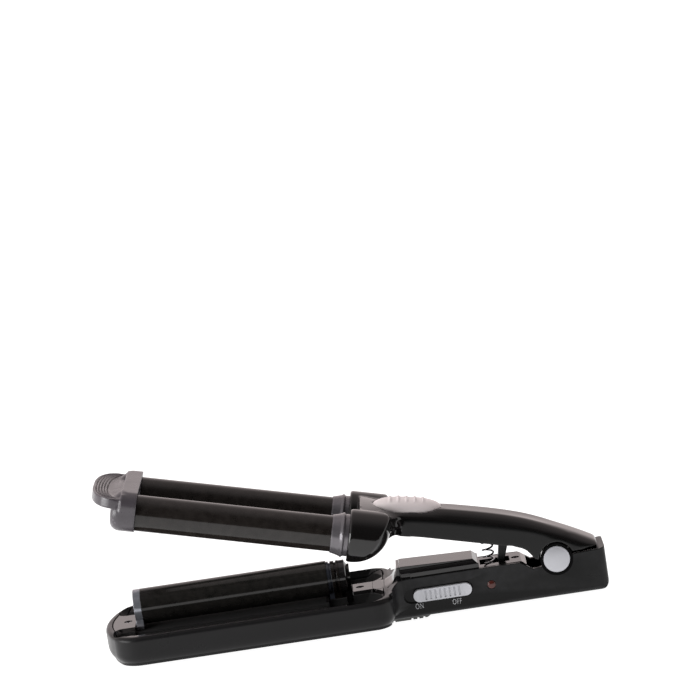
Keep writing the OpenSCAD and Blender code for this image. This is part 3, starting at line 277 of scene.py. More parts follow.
def finish(name, look):
    # one Principled finish: two close colours, worn edges, smears, grain and softened edges
    look = {**plainLook, "wornColour": look["colour2"], **look}
    material = bpy.data.materials.new(name)
    material.use_nodes = True
    tree = material.node_tree
    shader = tree.nodes["Principled BSDF"]
    grain = placeGroup(tree, mouldGrain, (-900, 200), Fine_Scale=look["grainScale"],
                       Slow_Scale=look["slowScale"])
    wear = placeGroup(tree, edgeWear, (-900, -50), Amount=look["wear"])
    marks = placeGroup(tree, handMarks, (-900, -250), Smooth=look["smooth"], Rough=look["rough"],
                       Scale=look["marksScale"])
    mix = addNode(tree, "ShaderNodeMix", (-600, 250), data_type="RGBA")
    mix.inputs["A"].default_value = (*look["colour"], 1)
    mix.inputs["B"].default_value = (*look["colour2"], 1)
    worn = addNode(tree, "ShaderNodeMix", (-350, 250), data_type="RGBA")
    worn.inputs["B"].default_value = (*look["wornColour"], 1)
    tree.links.new(grain.outputs["Variation"], mix.inputs["Factor"])
    if "fadeFrom" in look:
        # another shade past a line across the piece
        start, end = look["fadeFrom"]
        coords = addNode(tree, "ShaderNodeTexCoord", (-1100, 500))
        split = addNode(tree, "ShaderNodeSeparateXYZ", (-900, 500))
        fade = addNode(tree, "ShaderNodeMapRange", (-700, 500),
                       **{"From Min": start * mm, "From Max": end * mm})
        shade = addNode(tree, "ShaderNodeMix", (-480, 400), data_type="RGBA")
        shade.inputs["B"].default_value = (*look["fadeColour"], 1)
        tree.links.new(coords.outputs["Object"], split.inputs[0])
        tree.links.new(split.outputs[look["fadeAxis"]], fade.inputs["Value"])
        tree.links.new(fade.outputs["Result"], shade.inputs["Factor"])
        tree.links.new(mix.outputs["Result"], shade.inputs["A"])
        tree.links.new(shade.outputs["Result"], worn.inputs["A"])
    else:
        tree.links.new(mix.outputs["Result"], worn.inputs["A"])
    tree.links.new(wear.outputs["Mask"], worn.inputs["Factor"])
    tree.links.new(worn.outputs["Result"], shader.inputs["Base Color"])
    tree.links.new(marks.outputs["Roughness"], shader.inputs["Roughness"])
    if "fadeRough" in look:
        # the same line divides the roughness too
        matt = addNode(tree, "ShaderNodeMix", (-350, 0), data_type="FLOAT")
        matt.inputs["B"].default_value = look["fadeRough"]
        tree.links.new(fade.outputs["Result"], matt.inputs["Factor"])
        tree.links.new(marks.outputs["Roughness"], matt.inputs["A"])
        tree.links.new(matt.outputs["Result"], shader.inputs["Roughness"])
    rounded = addNode(tree, "ShaderNodeBevel", (-600, -450), Radius=look["edge"] * mm)
    rounded.samples = look["edgeSamples"]
    bump = addNode(tree, "ShaderNodeBump", (-350, -350), Strength=look["grain"],
                   Distance=look["bumpReach"] * mm)
    tree.links.new(grain.outputs["Height"], bump.inputs["Height"])
    tree.links.new(rounded.outputs["Normal"], bump.inputs["Normal"])
    tree.links.new(bump.outputs["Normal"], shader.inputs["Normal"])
    shader.inputs["Metallic"].default_value = look["metal"]
    shader.inputs["IOR"].default_value = look["ior"]
    shader.inputs["Coat Weight"].default_value = look["coat"]
    shader.inputs["Coat Roughness"].default_value = look["coatRough"]
    return material


looks = {
    "housing": {"colour": (0.0026, 0.0028, 0.0028), "colour2": (0.0040, 0.0042, 0.0042),
                "fadeFrom": (4.0, -6.0), "fadeColour": (0.0105, 0.0103, 0.0108),
                "smooth": 0.27, "rough": 0.34, "ior": 1.27, "grainScale": 1500.0, "grain": 0.08,
                "wear": 0.5, "wornColour": (0.045, 0.045, 0.048), "edge": 0.5},
    "housing_gloss": {"colour": (0.0045, 0.0040, 0.0040), "colour2": (0.0068, 0.0060, 0.0060),
                      "smooth": 0.07, "rough": 0.12, "grainScale": 900.0, "grain": 0.012,
                      "wear": 0.3, "wornColour": (0.05, 0.048, 0.05), "edge": 0.35},
    "barrel": {"colour": (0.0034, 0.0023, 0.0018), "colour2": (0.0050, 0.0036, 0.0030),
               "smooth": 0.09, "rough": 0.15, "ior": 1.44, "grainScale": 1800.0, "grain": 0.03,
               "wear": 0.3, "wornColour": (0.08, 0.07, 0.065), "marksScale": 90.0},
    "trim": {"colour": (0.054, 0.048, 0.055), "colour2": (0.070, 0.062, 0.071), "smooth": 0.25,
             "rough": 0.34, "grainScale": 1500.0, "grain": 0.10, "wear": 0.5,
             "wornColour": (0.36, 0.33, 0.36), "edge": 0.35},
    "pad": {"colour": (0.66, 0.595, 0.595), "colour2": (0.78, 0.715, 0.715), "smooth": 0.30,
            "rough": 0.42, "grainScale": 1600.0, "grain": 0.10, "wornColour": (0.88, 0.82, 0.82),
            "edge": 0.45},
    "silver": {"colour": (0.43, 0.435, 0.465), "colour2": (0.51, 0.515, 0.545), "smooth": 0.26,
               "rough": 0.36, "grainScale": 2200.0, "grain": 0.05, "metal": 0.35,
               "wornColour": (0.75, 0.76, 0.8)},
    "steel": {"colour": (0.36, 0.36, 0.38), "colour2": (0.44, 0.44, 0.45), "smooth": 0.25,
              "rough": 0.36, "grainScale": 2400.0, "grain": 0.06, "metal": 1.0,
              "wornColour": (0.6, 0.6, 0.6)},
    "spring_steel": {"colour": (0.62, 0.63, 0.65), "colour2": (0.72, 0.73, 0.75), "smooth": 0.12,
                     "rough": 0.2, "grainScale": 2400.0, "grain": 0.03, "metal": 1.0,
                     "edge": 0.05},
    "ceramic": {"colour": (0.68, 0.65, 0.58), "colour2": (0.76, 0.73, 0.66), "smooth": 0.5,
                "rough": 0.65, "grainScale": 1200.0, "grain": 0.2},
    "inner_plastic": {"colour": (0.010, 0.010, 0.0105), "colour2": (0.016, 0.016, 0.0165),
                      "smooth": 0.4, "rough": 0.5, "grainScale": 1200.0, "grain": 0.1},
    "board": {"colour": (0.012, 0.09, 0.03), "colour2": (0.02, 0.13, 0.045), "smooth": 0.25,
              "rough": 0.4, "grainScale": 1000.0, "grain": 0.05, "coat": 0.3},
    "lens": {"colour": (0.055, 0.011, 0.008), "colour2": (0.08, 0.017, 0.012), "smooth": 0.12,
             "rough": 0.2, "grainScale": 1500.0, "grain": 0.02},
    "rubber": {"colour": (0.013, 0.013, 0.014), "colour2": (0.02, 0.02, 0.021), "smooth": 0.55,
               "rough": 0.7, "grainScale": 1500.0, "grain": 0.25},
}
# looks that one or two pieces have instead of their slot's own
evenHousing = {key: value for key, value in looks["housing"].items() if not key.startswith("fade")}
looks["sideSatin"] = dict(evenHousing, ior=1.33)
looks["collar"] = dict(looks["trim"], colour=(0.130, 0.122, 0.132), colour2=(0.162, 0.153, 0.165),
                       smooth=0.2, rough=0.3, metal=0.5)
looks["collarDark"] = dict(looks["barrel"], smooth=0.14, rough=0.22, fadeFrom=(-28.5, -28.9),
                           fadeColour=(0.036, 0.040, 0.052))
looks["capMetal"] = dict(looks["trim"], colour=(0.27, 0.29, 0.325), colour2=(0.34, 0.36, 0.40),
                         smooth=0.18, rough=0.26, metal=0.6)
looks["lowerBarrel"] = dict(looks["barrel"], colour=(0.0018, 0.0024, 0.0020),
                            colour2=(0.0030, 0.0038, 0.0033), ior=1.42)
# below a height under the lower barrel the deck is painted near black and made matt: painted shade
looks["deckWithPaintedShade"] = dict(looks["housing_gloss"], fadeAxis="Z", fadeFrom=(15.3, 14.7),
                          fadeColour=(0.0022, 0.0022, 0.0022), fadeRough=0.95)
# a darker copy of the trim for the deep faces of the paddle grooves: painted shade
looks["trimGroove"] = dict(looks["trim"], colour=(0.016, 0.014, 0.016),
                           colour2=(0.022, 0.019, 0.022), smooth=0.5, rough=0.6)
# the pad under the handle in a darker copy of the pad colour: painted shade of its underside
looks["padPaintedShade"] = dict(looks["pad"], colour=(0.035, 0.037, 0.034), colour2=(0.055, 0.057, 0.053),
                         wornColour=(0.09, 0.09, 0.085))
# a near-black finish for the rings round the hinge caps: painted shade of the recess
looks["ringBlack"] = dict(evenHousing, colour=(0.0012, 0.0012, 0.0012),
                          colour2=(0.0018, 0.0018, 0.0018), ior=1.08,
                          wornColour=(0.02, 0.02, 0.021))
looks["print"] = dict(looks["pad"], colour=(0.42, 0.44, 0.46), colour2=(0.5, 0.52, 0.54),
                      grain=0.02)
ownLooks = {"upper_collar_near": "collar", "upper_collar_far": "collar",
            "lower_rear_collar": "collarDark", "lower_front_cap": "capMetal",
            "lower_grip_pad": "padPaintedShade", "lower_barrel": "lowerBarrel", "tray_deck": "deckWithPaintedShade"}
materials = {name: finish(name, look) for name, look in looks.items()}
for part in frame["record"]["subparts"]:
    mesh = nodes[part["node"]].data
    mesh.materials.clear()
    mesh.materials.append(materials[ownLooks.get(part["node"], part["material_slot"])])
print("materials made:", len(materials))


def settle(piece, node, toPart=upperToPart):
    # the piece stands for a node: same body, and the node is hidden
    piece.data.transform(toPart)
    for polygon in piece.data.polygons:
        polygon.use_smooth = True
    piece.data.update()
    bodies = frame["record"]["behaviour"]["bodies"]
    body = next(name for name, members in bodies.items() if node in members)
    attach(piece, body)
    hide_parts(node)


# the sizes of the pieces are millimetres from the hinge pin, along the arm a piece belongs to
endCap = {
    "rear": -187.5, "half": 27.4, "crest": 12.4, "low": -1.3, "corner": 6.2, "cornerStep": 10,
    "bandFront": -194.6, "bandIn": 0.5, "webRise": 1, "slotFront": -190.5, "slotLap": 0.2,
    "slotHalf": 8.8, "slotMiddle": 2.6, "slotRadius": 8.6, "slotStep": 10,
    "rodMiddle": 18.0, "rodRise": 2.9, "rodRadius": 8.9, "rodFront": -198.6, "rodEdge": 4.3,
    "rodStep": 15, "rodSides": 72,
    "paddleHalf": 26.0, "paddleReach": 12.6, "paddleBack": -195.6, "paddlePower": 2.6,
    "paddleTop": 9.6, "paddleLow": 5.0, "paddlePoints": 61, "tailIn": 0.5, "tailLap": 3,
    "voxel": 0.3, "looseFrom": 0.2, "looseTo": 1.0, "looseWeight": 0.5, "looseRounds": 6,
    "saddleX": -196.4, "saddleHalf": 2.6, "saddleRise": (3.5, 6.0), "saddleWeight": 0.55,
    "saddleRounds": 26, "faceFrom": 1.2, "faceTo": 0.5,
    "scoop": 0.9, "scoopMiddle": 8.6, "scoopHalf": 3.6, "scoopMargin": 1.2, "scoopFade": 3.0,
    "grooves": 5, "grooveStart": 1.5, "grooveStep": 1.25, "grooveHalf": 0.56, "grooveDeep": 0.8,
    "grooveMargin": 1.4, "grooveFade": 1.2, "grooveShade": 0.22,
}


def paddleFront(y):
    # the paddle's front edge, a flattened half oval
    share = np.clip(np.abs(y) / endCap["paddleHalf"], 0, 1)
    power = endCap["paddlePower"]
    return endCap["paddleBack"] - endCap["paddleReach"] * (1 - share ** power) ** (1 / power)


def makeEndCap():
    # the two barrel ends, the band across them and the thumb paddle, moulded as one
    bm = bmesh.new()
    cap = endCap
    edge = cap["rodEdge"]
    front = [(cap["rodFront"] + edge * (1 - math.cos(math.radians(a))),
              cap["rodRadius"] - edge * (1 - math.sin(math.radians(a))))
             for a in range(0, 91, cap["rodStep"])]
    for side in (-1, 1):
        addTurned(bm, front + [(cap["rear"], cap["rodRadius"])],
                  (side * cap["rodMiddle"], cap["rodRise"]), cap["rodSides"])
    r, half, crest = cap["corner"], cap["half"], cap["crest"]
    corner = [(half - r * (1 - math.cos(math.radians(a))),
               crest - r * (1 - math.sin(math.radians(a))))
              for a in range(0, 91, cap["cornerStep"])]
    band = [(half - cap["bandIn"], cap["rodRise"])] + corner
    band = band + [(-y, z) for y, z in reversed(band)]
    addPrism(bm, band, lambda y, z, end: (cap["slotFront"] if end else cap["bandFront"], y, z))
    # the rear of the band arches over the lower barrel's cap when the arms close
    arch = [(cap["slotHalf"] * math.cos(math.radians(a)),
             cap["slotMiddle"] + cap["slotRadius"] * math.sin(math.radians(a)))
            for a in range(180, -1, -cap["slotStep"])]
    archFront = cap["slotFront"] - cap["slotLap"]
    addPrism(bm, band + arch, lambda y, z, end: (cap["rear"] if end else archFront, y, z))
    webTop = cap["rodRise"] + cap["webRise"]
    web = [(cap["rodMiddle"], cap["low"]), (cap["rodMiddle"], webTop),
           (-cap["rodMiddle"], webTop), (-cap["rodMiddle"], cap["low"])]
    addPrism(bm, web, lambda y, z, end: (cap["slotFront"] if end else cap["bandFront"], y, z))
    across = np.sin(np.linspace(-math.pi / 2, math.pi / 2, cap["paddlePoints"])) * cap["paddleHalf"]
    tailX, tailHalf = cap["rear"] - cap["tailLap"], cap["paddleHalf"] - cap["tailIn"]
    plate = [(float(paddleFront(y)), float(y)) for y in across]
    plate += [(tailX, tailHalf), (tailX, -tailHalf)]
    addPrism(bm, plate, lambda x, y, end: (x, y, cap["paddleTop"] if end else cap["paddleLow"]))
    piece = pieceFrom(bm, "endCapSkin")
    evened(piece, cap["voxel"])
    mesh = piece.data
    points = readPoints(mesh)
    # everything but the rear face is softened, then the saddle between band and paddle
    loose = easing(-points[:, 0], -cap["rear"] + cap["looseFrom"], -cap["rear"] + cap["looseTo"])
    points = relaxed(mesh, points, cap["looseWeight"] * loose, cap["looseRounds"])
    saddle = bump1d(points[:, 0], cap["saddleX"], cap["saddleHalf"]) \
        * easing(points[:, 2], *cap["saddleRise"])
    points = relaxed(mesh, points, cap["saddleWeight"] * saddle, cap["saddleRounds"])
    # the scoop behind the grooves, then the grooves themselves
    x, y, z = points.T
    top = easing(z, cap["paddleTop"] - cap["faceFrom"], cap["paddleTop"] - cap["faceTo"])
    inside = x - paddleFront(y)
    scoopWide = easing(cap["paddleHalf"] - cap["scoopMargin"] - np.abs(y), 0, cap["scoopFade"])
    grooveWide = easing(cap["paddleHalf"] - cap["grooveMargin"] - np.abs(y), 0, cap["grooveFade"])
    cut = np.zeros(len(points))
    for k in range(cap["grooves"]):
        cut = cut + top * grooveWide \
            * bump1d(inside, cap["grooveStart"] + k * cap["grooveStep"], cap["grooveHalf"])
    scoop = cap["scoop"] * bump1d(inside, cap["scoopMiddle"], cap["scoopHalf"])
    dip = scoop * scoopWide * top + cap["grooveDeep"] * cut
    points[:, 2] = z - dip
    writePoints(mesh, points)
    mesh.materials.append(materials["trim"])
    mesh.materials.append(materials["trimGroove"])
    # the deepest faces of the grooves take the darker trim: painted shade in the grooves
    for polygon in mesh.polygons:
        if min(cut[i] for i in polygon.vertices) > cap["grooveShade"]:
            polygon.material_index = 1
    settle(piece, "end_cap")


# a pair of numbers is where an easing starts and ends; crownRear and smoothRear run along -X
upperShell = {
    "voxel": 0.5, "softWeight": 0.5, "softRounds": 2,
    "fillet": [(-84, 6.5), (-70, 6.5), (-72.5, 11.4), (-77, 13.2), (-84, 13.2)],
    "filletInner": 8.0, "filletOuter": 14.5,
    "runX": -75.0, "runHalf": 9.0, "runRise": (1.0, 6.0), "runY": 13.5, "runWide": 8.5,
    "runWeight": 0.6, "runRounds": 90,
    "rimX": -73.5, "rimHalf": 5.5, "rimSide": (9.5, 11.5), "rimWeight": 0.55, "rimRounds": 26,
    "crownRadius": 16.0, "crownHalf": 10.5, "crownFront": (-60.0, -50.0),
    "crownRear": (-25.0, -21.0), "rearLess": 0.38, "rearLessAlong": (-20.0, 15.0),
    "flatSide": (4.6, 10.0), "lowered": 0.7, "loweredSide": (6.0, 10.0),
    "crownBase": 6.0, "baseRise": 3.0, "baseAlong": (0.0, 15.0), "baseFade": 2.5,
    "smoothFront": (-8.0, -2.0), "smoothRear": (-21.0, -17.0), "smoothFade": 1.0,
    "smoothWeight": 0.5, "smoothRounds": 30,
    "recess": 2.4, "recessX": -72.6, "recessHalf": 3.4, "recessSide": (8.2, 9.4),
    "recessTop": 12.0, "recessFade": 2.5,
    "sideLean": 0.93, "sideY": 9.6, "sideFront": -70.5,
}


def makeUpperShell():
    # the upper housing as one moulding, with soft runs from the cups into the handle
    shell = upperShell
    source = nodes["upper_housing"].data.copy()
    source.transform(upperToPart.inverted())
    piece = bpy.data.objects.new("upperShell", source)
    bpy.context.collection.objects.link(piece)
    bm = bmesh.new()
    bm.from_mesh(source)
    # fillets between the rear of each cup and the crown of the handle
    for side in (-1, 1):
        addPrism(bm, shell["fillet"], lambda x, z, end, side=side: (
            x, side * (shell["filletOuter"] if end else shell["filletInner"]), z))
    bmesh.ops.recalc_face_normals(bm, faces=bm.faces)
    bm.to_mesh(source)
    bm.free()
    evened(piece, shell["voxel"])
    mesh = piece.data
    points = readPoints(mesh)
    points = relaxed(mesh, points, np.full(len(points), shell["softWeight"]), shell["softRounds"])
    x, y, z = points.T
    run = bump1d(x, shell["runX"], shell["runHalf"]) * easing(z, *shell["runRise"]) \
        * bump1d(np.abs(y), shell["runY"], shell["runWide"])
    points = relaxed(mesh, points, shell["runWeight"] * run, shell["runRounds"])
    x, y, z = points.T
    rim = bump1d(x, shell["rimX"], shell["rimHalf"]) * easing(np.abs(y), *shell["rimSide"])
    points = relaxed(mesh, points, shell["rimWeight"] * rim, shell["rimRounds"])
    # the crown gets a flat top with rounded shoulders
    x, y, z = points.T
    radius = shell["crownRadius"]
    sunk = radius - np.sqrt(radius ** 2 - np.clip(np.abs(y), 0, shell["crownHalf"]) ** 2)
    sunk = sunk * (1 - shell["rearLess"] * easing(x, *shell["rearLessAlong"]))
    lift = sunk * (1 - easing(np.abs(y), *shell["flatSide"]))
    lift = lift - shell["lowered"] * (1 - easing(np.abs(y), *shell["loweredSide"]))
    along = easing(x, *shell["crownFront"]) * easing(-x, *shell["crownRear"])
    base = shell["crownBase"] + shell["baseRise"] * (1 - easing(x, *shell["baseAlong"]))
    points[:, 2] = z + lift * along * easing(z, base - shell["baseFade"], base)
    smooth = easing(x, *shell["smoothFront"]) * easing(-x, *shell["smoothRear"]) \
        * easing(z, base - shell["smoothFade"], base + shell["smoothFade"])
    points = relaxed(mesh, points, shell["smoothWeight"] * smooth, shell["smoothRounds"])
    # the hollow in the side just behind each cup
    x, y, z = points.T
    hollow = bump1d(x, shell["recessX"], shell["recessHalf"]) \
        * easing(np.abs(y), *shell["recessSide"]) \
        * easing(shell["recessTop"] - z, 0.0, shell["recessFade"])
    points[:, 1] = y - np.sign(y) * shell["recess"] * hollow
    writePoints(mesh, points)
    mesh.materials.clear()
    mesh.materials.append(materials["housing_gloss"])
    mesh.materials.append(materials["sideSatin"])
    # the flat sides of the handle are satin
    for polygon in mesh.polygons:
        middle = polygon.center
        upright = abs(polygon.normal.y) > shell["sideLean"]
        if upright and abs(middle.y) > shell["sideY"] and middle.x > shell["sideFront"]:
            polygon.material_index = 1
    settle(piece, "upper_housing")


gripPad = {"front": -83.9, "rear": -52.8, "halfWidth": 7.6, "seat": 13.9, "top": 18.1, "power": 2.5,
           "domePower": 3.2, "slope": 0.07, "skirt": 3.6, "rings": 48, "ringSpread": 0.8,
           "around": 200, "ribs": 5, "ribPitch": 3.7, "ribHalf": 0.8, "ribHeight": 0.7,
           "ribShift": -0.6, "ribReach": 0.74, "ribFade": 4}


def makeGripPad():
    # the crowned thumb pad with cross ribs, drawn as rings from its middle out
    pad = gripPad
    bm = bmesh.new()
    middle, halfLength = (pad["front"] + pad["rear"]) / 2, (pad["rear"] - pad["front"]) / 2

    def height(x, y, share):
        rise = (1 - share ** pad["domePower"]) ** 0.5 if share < 1 else 0.0
        z = pad["seat"] + (pad["top"] - pad["seat"]) * rise + pad["slope"] * (x - middle)
        across = max(0.0, 1 - (abs(y) / (pad["halfWidth"] * pad["ribReach"])) ** pad["ribFade"])
        for k in range(pad["ribs"]):
            place = (k - (pad["ribs"] - 1) / 2) * pad["ribPitch"] + pad["ribShift"]
            off = abs(x - middle - place) / pad["ribHalf"]
            if off < 1:
                z += pad["ribHeight"] * (1 - off * off) ** 2 * across
        return z

    rings = []
    for i in range(1, pad["rings"] + 1):
        share = (i / pad["rings"]) ** pad["ringSpread"]
        ring = []
        for k in range(pad["around"]):
            turn = math.tau * k / pad["around"]
            c, t = math.cos(turn), math.sin(turn)
            spread = (abs(c) ** pad["power"] + abs(t) ** pad["power"]) ** (-1 / pad["power"])
            x, y = middle + halfLength * share * spread * c, pad["halfWidth"] * share * spread * t
            ring.append(bm.verts.new((x, y, height(x, y, share))))
        rings.append(ring)
    skirt = [bm.verts.new((v.co.x, v.co.y, v.co.z - pad["skirt"])) for v in rings[-1]]
    rings.append(skirt)
    tip = bm.verts.new((middle, 0, height(middle, 0, 0)))
    for k in range(pad["around"]):
        n = (k + 1) % pad["around"]
        bm.faces.new((tip, rings[0][k], rings[0][n]))
        for inner, outer in zip(rings, rings[1:]):
            bm.faces.new((inner[k], outer[k], outer[n], inner[n]))
    bm.faces.new(list(reversed(skirt)))
    piece = pieceFrom(bm, "gripPadSkin")
    settle(piece, "upper_grip_pad")
    piece.data.materials.append(materials["pad"])


rampSkin = {"front": -82.85, "rear": -69.95, "low": -3.5, "plate": -2.0, "curveX": -79.3,
            "curveR": 8.05, "frontHalf": 6.2, "frontSlope": 0.95, "half": 8.1, "flare": 12.2,
            "flareAlong": (-79.0, -77.8), "rearHalf": 7.4, "narrowAlong": (-76.6, -72.4),
            "edgeDrop": 1.5, "edgePower": 5, "along": 72, "across": 48, "smoothFrom": 0.02}


def makeRamp():
    # the curved ramp, wider where it leaves the deck and carried up to the front of the block
    ramp = rampSkin
    xs = np.linspace(ramp["front"], ramp["rear"], ramp["along"])
    run = np.clip(xs - ramp["curveX"], 0, ramp["curveR"])
    tops = ramp["plate"] + ramp["curveR"] - np.sqrt(ramp["curveR"] ** 2 - run ** 2)
    flare = easing(xs, *ramp["flareAlong"])
    narrow = easing(xs, *ramp["narrowAlong"])
    halves = ramp["half"] + flare * (ramp["flare"] - ramp["half"]) \
        - narrow * (ramp["flare"] - ramp["rearHalf"])
    halves = np.minimum(halves, ramp["frontHalf"] + ramp["frontSlope"] * (xs - ramp["front"]))
    bm = bmesh.new()
    upper, lower = [], []
    for x, top, half, wide in zip(xs, tops, halves, flare * (1 - narrow)):
        row = []
        for share in np.linspace(-1, 1, ramp["across"]):
            z = top - ramp["edgeDrop"] * wide * abs(share) ** ramp["edgePower"]
            row.append(bm.verts.new((x, share * half, z)))
        upper.append(row)
        lower.append([bm.verts.new((v.co.x, v.co.y, ramp["low"])) for v in row])
    for i in range(ramp["along"] - 1):
        for k in range(ramp["across"] - 1):
            bm.faces.new((upper[i][k], upper[i + 1][k], upper[i + 1][k + 1], upper[i][k + 1]))
            bm.faces.new((lower[i][k], lower[i][k + 1], lower[i + 1][k + 1], lower[i + 1][k]))
        for k in (0, -1):
            bm.faces.new((upper[i][k], lower[i][k], lower[i + 1][k], upper[i + 1][k]))
    for i in (0, -1):
        for k in range(ramp["across"] - 1):
            bm.faces.new((upper[i][k], upper[i][k + 1], lower[i][k + 1], lower[i][k]))
    piece = pieceFrom(bm, "rampSkin")
    settle(piece, "deck_ramp", lowerToPart)
    mesh = piece.data
    mesh.materials.append(materials["housing_gloss"])
    # only the curved top is shaded smooth
    for polygon in mesh.polygons:
        polygon.use_smooth = polygon.normal.z > ramp["smoothFrom"]


hingeShadeRings = {"inner": 6.1, "outer": 7.3, "wall": 10.8, "sunk": 0.3, "proud": 0.06, "edge": 0.12,
              "sides": 96}


def makeHingeShadeRing(name, side):
    # thin dark ring round a hinge cap, with a softened outer edge: painted shade of the recess round
    # the cap
    ring = hingeShadeRings
    inside, outside = side * (ring["wall"] - ring["sunk"]), side * (ring["wall"] + ring["proud"])
    profile = [(ring["inner"], inside), (ring["inner"], outside),
               (ring["outer"] - ring["edge"], outside), (ring["outer"], side * ring["wall"]),
               (ring["outer"], inside)]
    bm = bmesh.new()
    loops = []
    for k in range(ring["sides"]):
        turn = math.tau * k / ring["sides"]
        c, s = math.cos(turn), math.sin(turn)
        loops.append([bm.verts.new((r * c, y, r * s)) for r, y in profile])
    for k, loop in enumerate(loops):
        following = loops[(k + 1) % ring["sides"]]
        for i in range(len(profile)):
            j = (i + 1) % len(profile)
            bm.faces.new((loop[i], loop[j], following[j], following[i]))
    piece = pieceFrom(bm, name)
    piece.data.transform(lowerToPart)
    piece.data.materials.append(materials["ringBlack"])
    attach(piece, "lower_arm")


def makeSpring():
    # the coil spring, copied as it is from its node; the real spring shortens towards its foot as the
    # arms close
    mesh = nodes["arm_spring"].data.copy()
    piece = bpy.data.objects.new("springCoil", mesh)
    bpy.context.collection.objects.link(piece)
    settle(piece, "arm_spring", Matrix.Identity(4))
    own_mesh(piece)


words = {"height": 2.55, "bodySize": 1.4, "spacing": 1.15, "narrow": 0.62, "proud": 0.05,
         "wall": -10.83, "ON": (-65.2, -13.1), "OFF": (-48.6, -13.5)}


def makeWord(text):
    # plain switch word printed on the near side
    curve = bpy.data.curves.new("word" + text, "FONT")
    curve.body = text
    curve.size = words["height"] * words["bodySize"] * mm
    curve.extrude = words["proud"] * mm
    curve.space_character = words["spacing"]
    holder = bpy.data.objects.new("word" + text, curve)
    bpy.context.collection.objects.link(holder)
    bpy.context.view_layer.update()
    depsgraph = bpy.context.evaluated_depsgraph_get()
    mesh = bpy.data.meshes.new_from_object(holder.evaluated_get(depsgraph))
    bpy.data.objects.remove(holder)
    piece = bpy.data.objects.new("word" + text, mesh)
    bpy.context.collection.objects.link(piece)
    x, z = words[text]
    stand = Matrix.Rotation(math.radians(90), 4, "X") @ Matrix.Scale(words["narrow"], 4, (1, 0, 0))
    mesh.transform(Matrix.Translation(lowerPoint(x, words["wall"], z)) @ stand)
    mesh.materials.append(materials["print"])
    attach(piece, "lower_arm")


makeEndCap()
print("end cap made")
makeUpperShell()
print("upper housing made")
makeGripPad()
print("grip pad made")
makeRamp()
print("ramp made")
makeSpring()
print("spring made")
for name, side in (("hingeShadeRingNear", -1), ("hingeShadeRingFar", 1)):
    makeHingeShadeRing(name, side)
print("hinge rings made")
for text in ("ON", "OFF"):
    makeWord(text)
print("switch words made")


studio = {"floorSize": 26.0, "floorColour": (0.35, 0.35, 0.35), "floorRough": 0.9,
          "floorSpecular": 0.1, "floorGlow": 0.98, "skyStrength": 1.0,
          "skyTint": (1.04, 0.92, 0.91), "tintPace": 1.6, "glowFrom": (-0.97, -0.2, 0.12),
          "glowRange": {"From Min": 0.55, "From Max": 1.0, "To Max": 0.6}}
# brightness of the surroundings, from straight ahead of the near side to straight behind the far
skySteps = [(0.0, 0.015), (0.17, 0.05), (0.24, 0.09), (0.37, 0.30), (0.50, 0.48), (0.60, 0.54),
            (0.80, 0.55), (0.93, 0.85), (1.0, 1.05)]


def makeFloor():
    # pale floor that glows a little, as a lit table does
    mesh = bpy.data.meshes.new("floor")
    half = studio["floorSize"] / 2
    mesh.from_pydata([(-half, -half, 0), (half, -half, 0), (half, half, 0), (-half, half, 0)], [],
                     [(0, 1, 2, 3)])
    floor = bpy.data.objects.new("floor", mesh)
    bpy.context.collection.objects.link(floor)
    paint = bpy.data.materials.new("floorPaint")
    paint.use_nodes = True
    shader = paint.node_tree.nodes["Principled BSDF"]
    shader.inputs["Base Color"].default_value = (*studio["floorColour"], 1)
    shader.inputs["Roughness"].default_value = studio["floorRough"]
    shader.inputs["Specular IOR Level"].default_value = studio["floorSpecular"]
    shader.inputs["Emission Color"].default_value = (1, 1, 1, 1)
    shader.inputs["Emission Strength"].default_value = studio["floorGlow"]
    mesh.materials.append(paint)


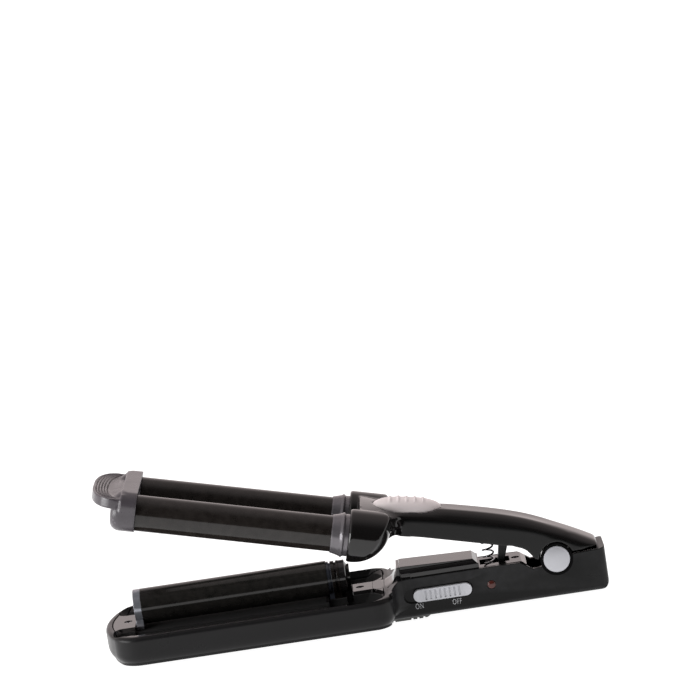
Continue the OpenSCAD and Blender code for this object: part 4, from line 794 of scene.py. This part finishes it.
def makeWorld():
    # soft light from behind and above, dark towards the front
    world = bpy.data.worlds.new("studio")
    world.use_nodes = True
    tree = world.node_tree
    back = tree.nodes["Background"]
    coords = addNode(tree, "ShaderNodeTexCoord", (-900, 0))
    split = addNode(tree, "ShaderNodeSeparateXYZ", (-700, 0))
    spread = addNode(tree, "ShaderNodeMapRange", (-500, 0), **{"From Min": -1.0, "From Max": 1.0})
    ramp = addNode(tree, "ShaderNodeValToRGB", (-250, 0))
    stops = ramp.color_ramp.elements
    for place, _ in skySteps[1:-1]:
        stops.new(place)
    for stop, (place, level) in zip(stops, skySteps):
        stop.position = place
        warm = [1 - (1 - part) * min(1.0, place * studio["tintPace"]) for part in studio["skyTint"]]
        stop.color = (level * warm[0], level * warm[1], level * warm[2], 1)
    along = addNode(tree, "ShaderNodeVectorMath", (-700, -300), operation="DOT_PRODUCT")
    along.inputs[1].default_value = studio["glowFrom"]
    glow = addNode(tree, "ShaderNodeMapRange", (-500, -300), interpolation_type="SMOOTHSTEP",
                   **studio["glowRange"])
    lit = addNode(tree, "ShaderNodeVectorMath", (-100, 0), operation="ADD")
    tree.links.new(coords.outputs["Generated"], split.inputs[0])
    tree.links.new(split.outputs["Y"], spread.inputs["Value"])
    tree.links.new(spread.outputs["Result"], ramp.inputs["Fac"])
    tree.links.new(coords.outputs["Generated"], along.inputs[0])
    tree.links.new(along.outputs["Value"], glow.inputs["Value"])
    tree.links.new(ramp.outputs["Color"], lit.inputs[0])
    tree.links.new(glow.outputs["Result"], lit.inputs[1])
    tree.links.new(lit.outputs["Vector"], back.inputs["Color"])
    back.inputs["Strength"].default_value = studio["skyStrength"]
    bpy.context.scene.world = world


lamps = {
    "softTop": {"size": (1.0, 1.0), "place": (-0.30, 0.25, 1.2), "aim": (0, 0, 0.03),
                "power": 8.0, "glossy": False},
    "leftSide": {"size": (0.9, 0.7), "place": (-1.15, -0.42, 0.22), "aim": (0, 0, 0.04),
                 "power": 13.0, "glossy": True},
}


def makeLamps():
    # two area lamps, both aimed at the part
    for name, lamp in lamps.items():
        data = bpy.data.lights.new(name, "AREA")
        data.shape = "RECTANGLE"
        data.size, data.size_y = lamp["size"]
        data.energy = lamp["power"]
        light = bpy.data.objects.new(name, data)
        light.location = lamp["place"]
        # the upper lamp fills the matt pieces and leaves no patch on the glossy ones
        light.visible_glossy = lamp["glossy"]
        ahead = Vector(lamp["aim"]) - light.location
        light.rotation_euler = ahead.to_track_quat("-Z", "Y").to_euler()
        bpy.context.collection.objects.link(light)


lensSetup = {"fromHinge": (-47.59, -1360.47, 352.47), "turn": -1.2244, "down": 10.2915,
             "roll": -8.8566, "lens": 160.97, "sensor": 36.0, "reach": 60}


def makeCamera():
    # long lens, placed in millimetres from the hinge pin
    turn, down, roll = (math.radians(lensSetup[key]) for key in ("turn", "down", "roll"))
    ahead = Vector((math.sin(turn) * math.cos(down), math.cos(turn) * math.cos(down),
                    -math.sin(down)))
    right = Vector((math.cos(turn), -math.sin(turn), 0))
    up = right.cross(ahead)
    camX = math.cos(roll) * right + math.sin(roll) * up
    camY = -math.sin(roll) * right + math.cos(roll) * up
    data = bpy.data.cameras.new("camera")
    data.lens = lensSetup["lens"]
    data.sensor_width = lensSetup["sensor"]
    data.clip_end = lensSetup["reach"]
    camera = bpy.data.objects.new("camera", data)
    camera.matrix_world = Matrix.Translation(lowerPoint(*lensSetup["fromHinge"])) @ Matrix(
        (camX, camY, -ahead)).transposed().to_4x4()
    bpy.context.collection.objects.link(camera)
    bpy.context.scene.camera = camera


makeFloor()
makeLamps()
makeWorld()
makeCamera()
bpy.context.scene.view_settings.view_transform = "Standard"
print("studio made")
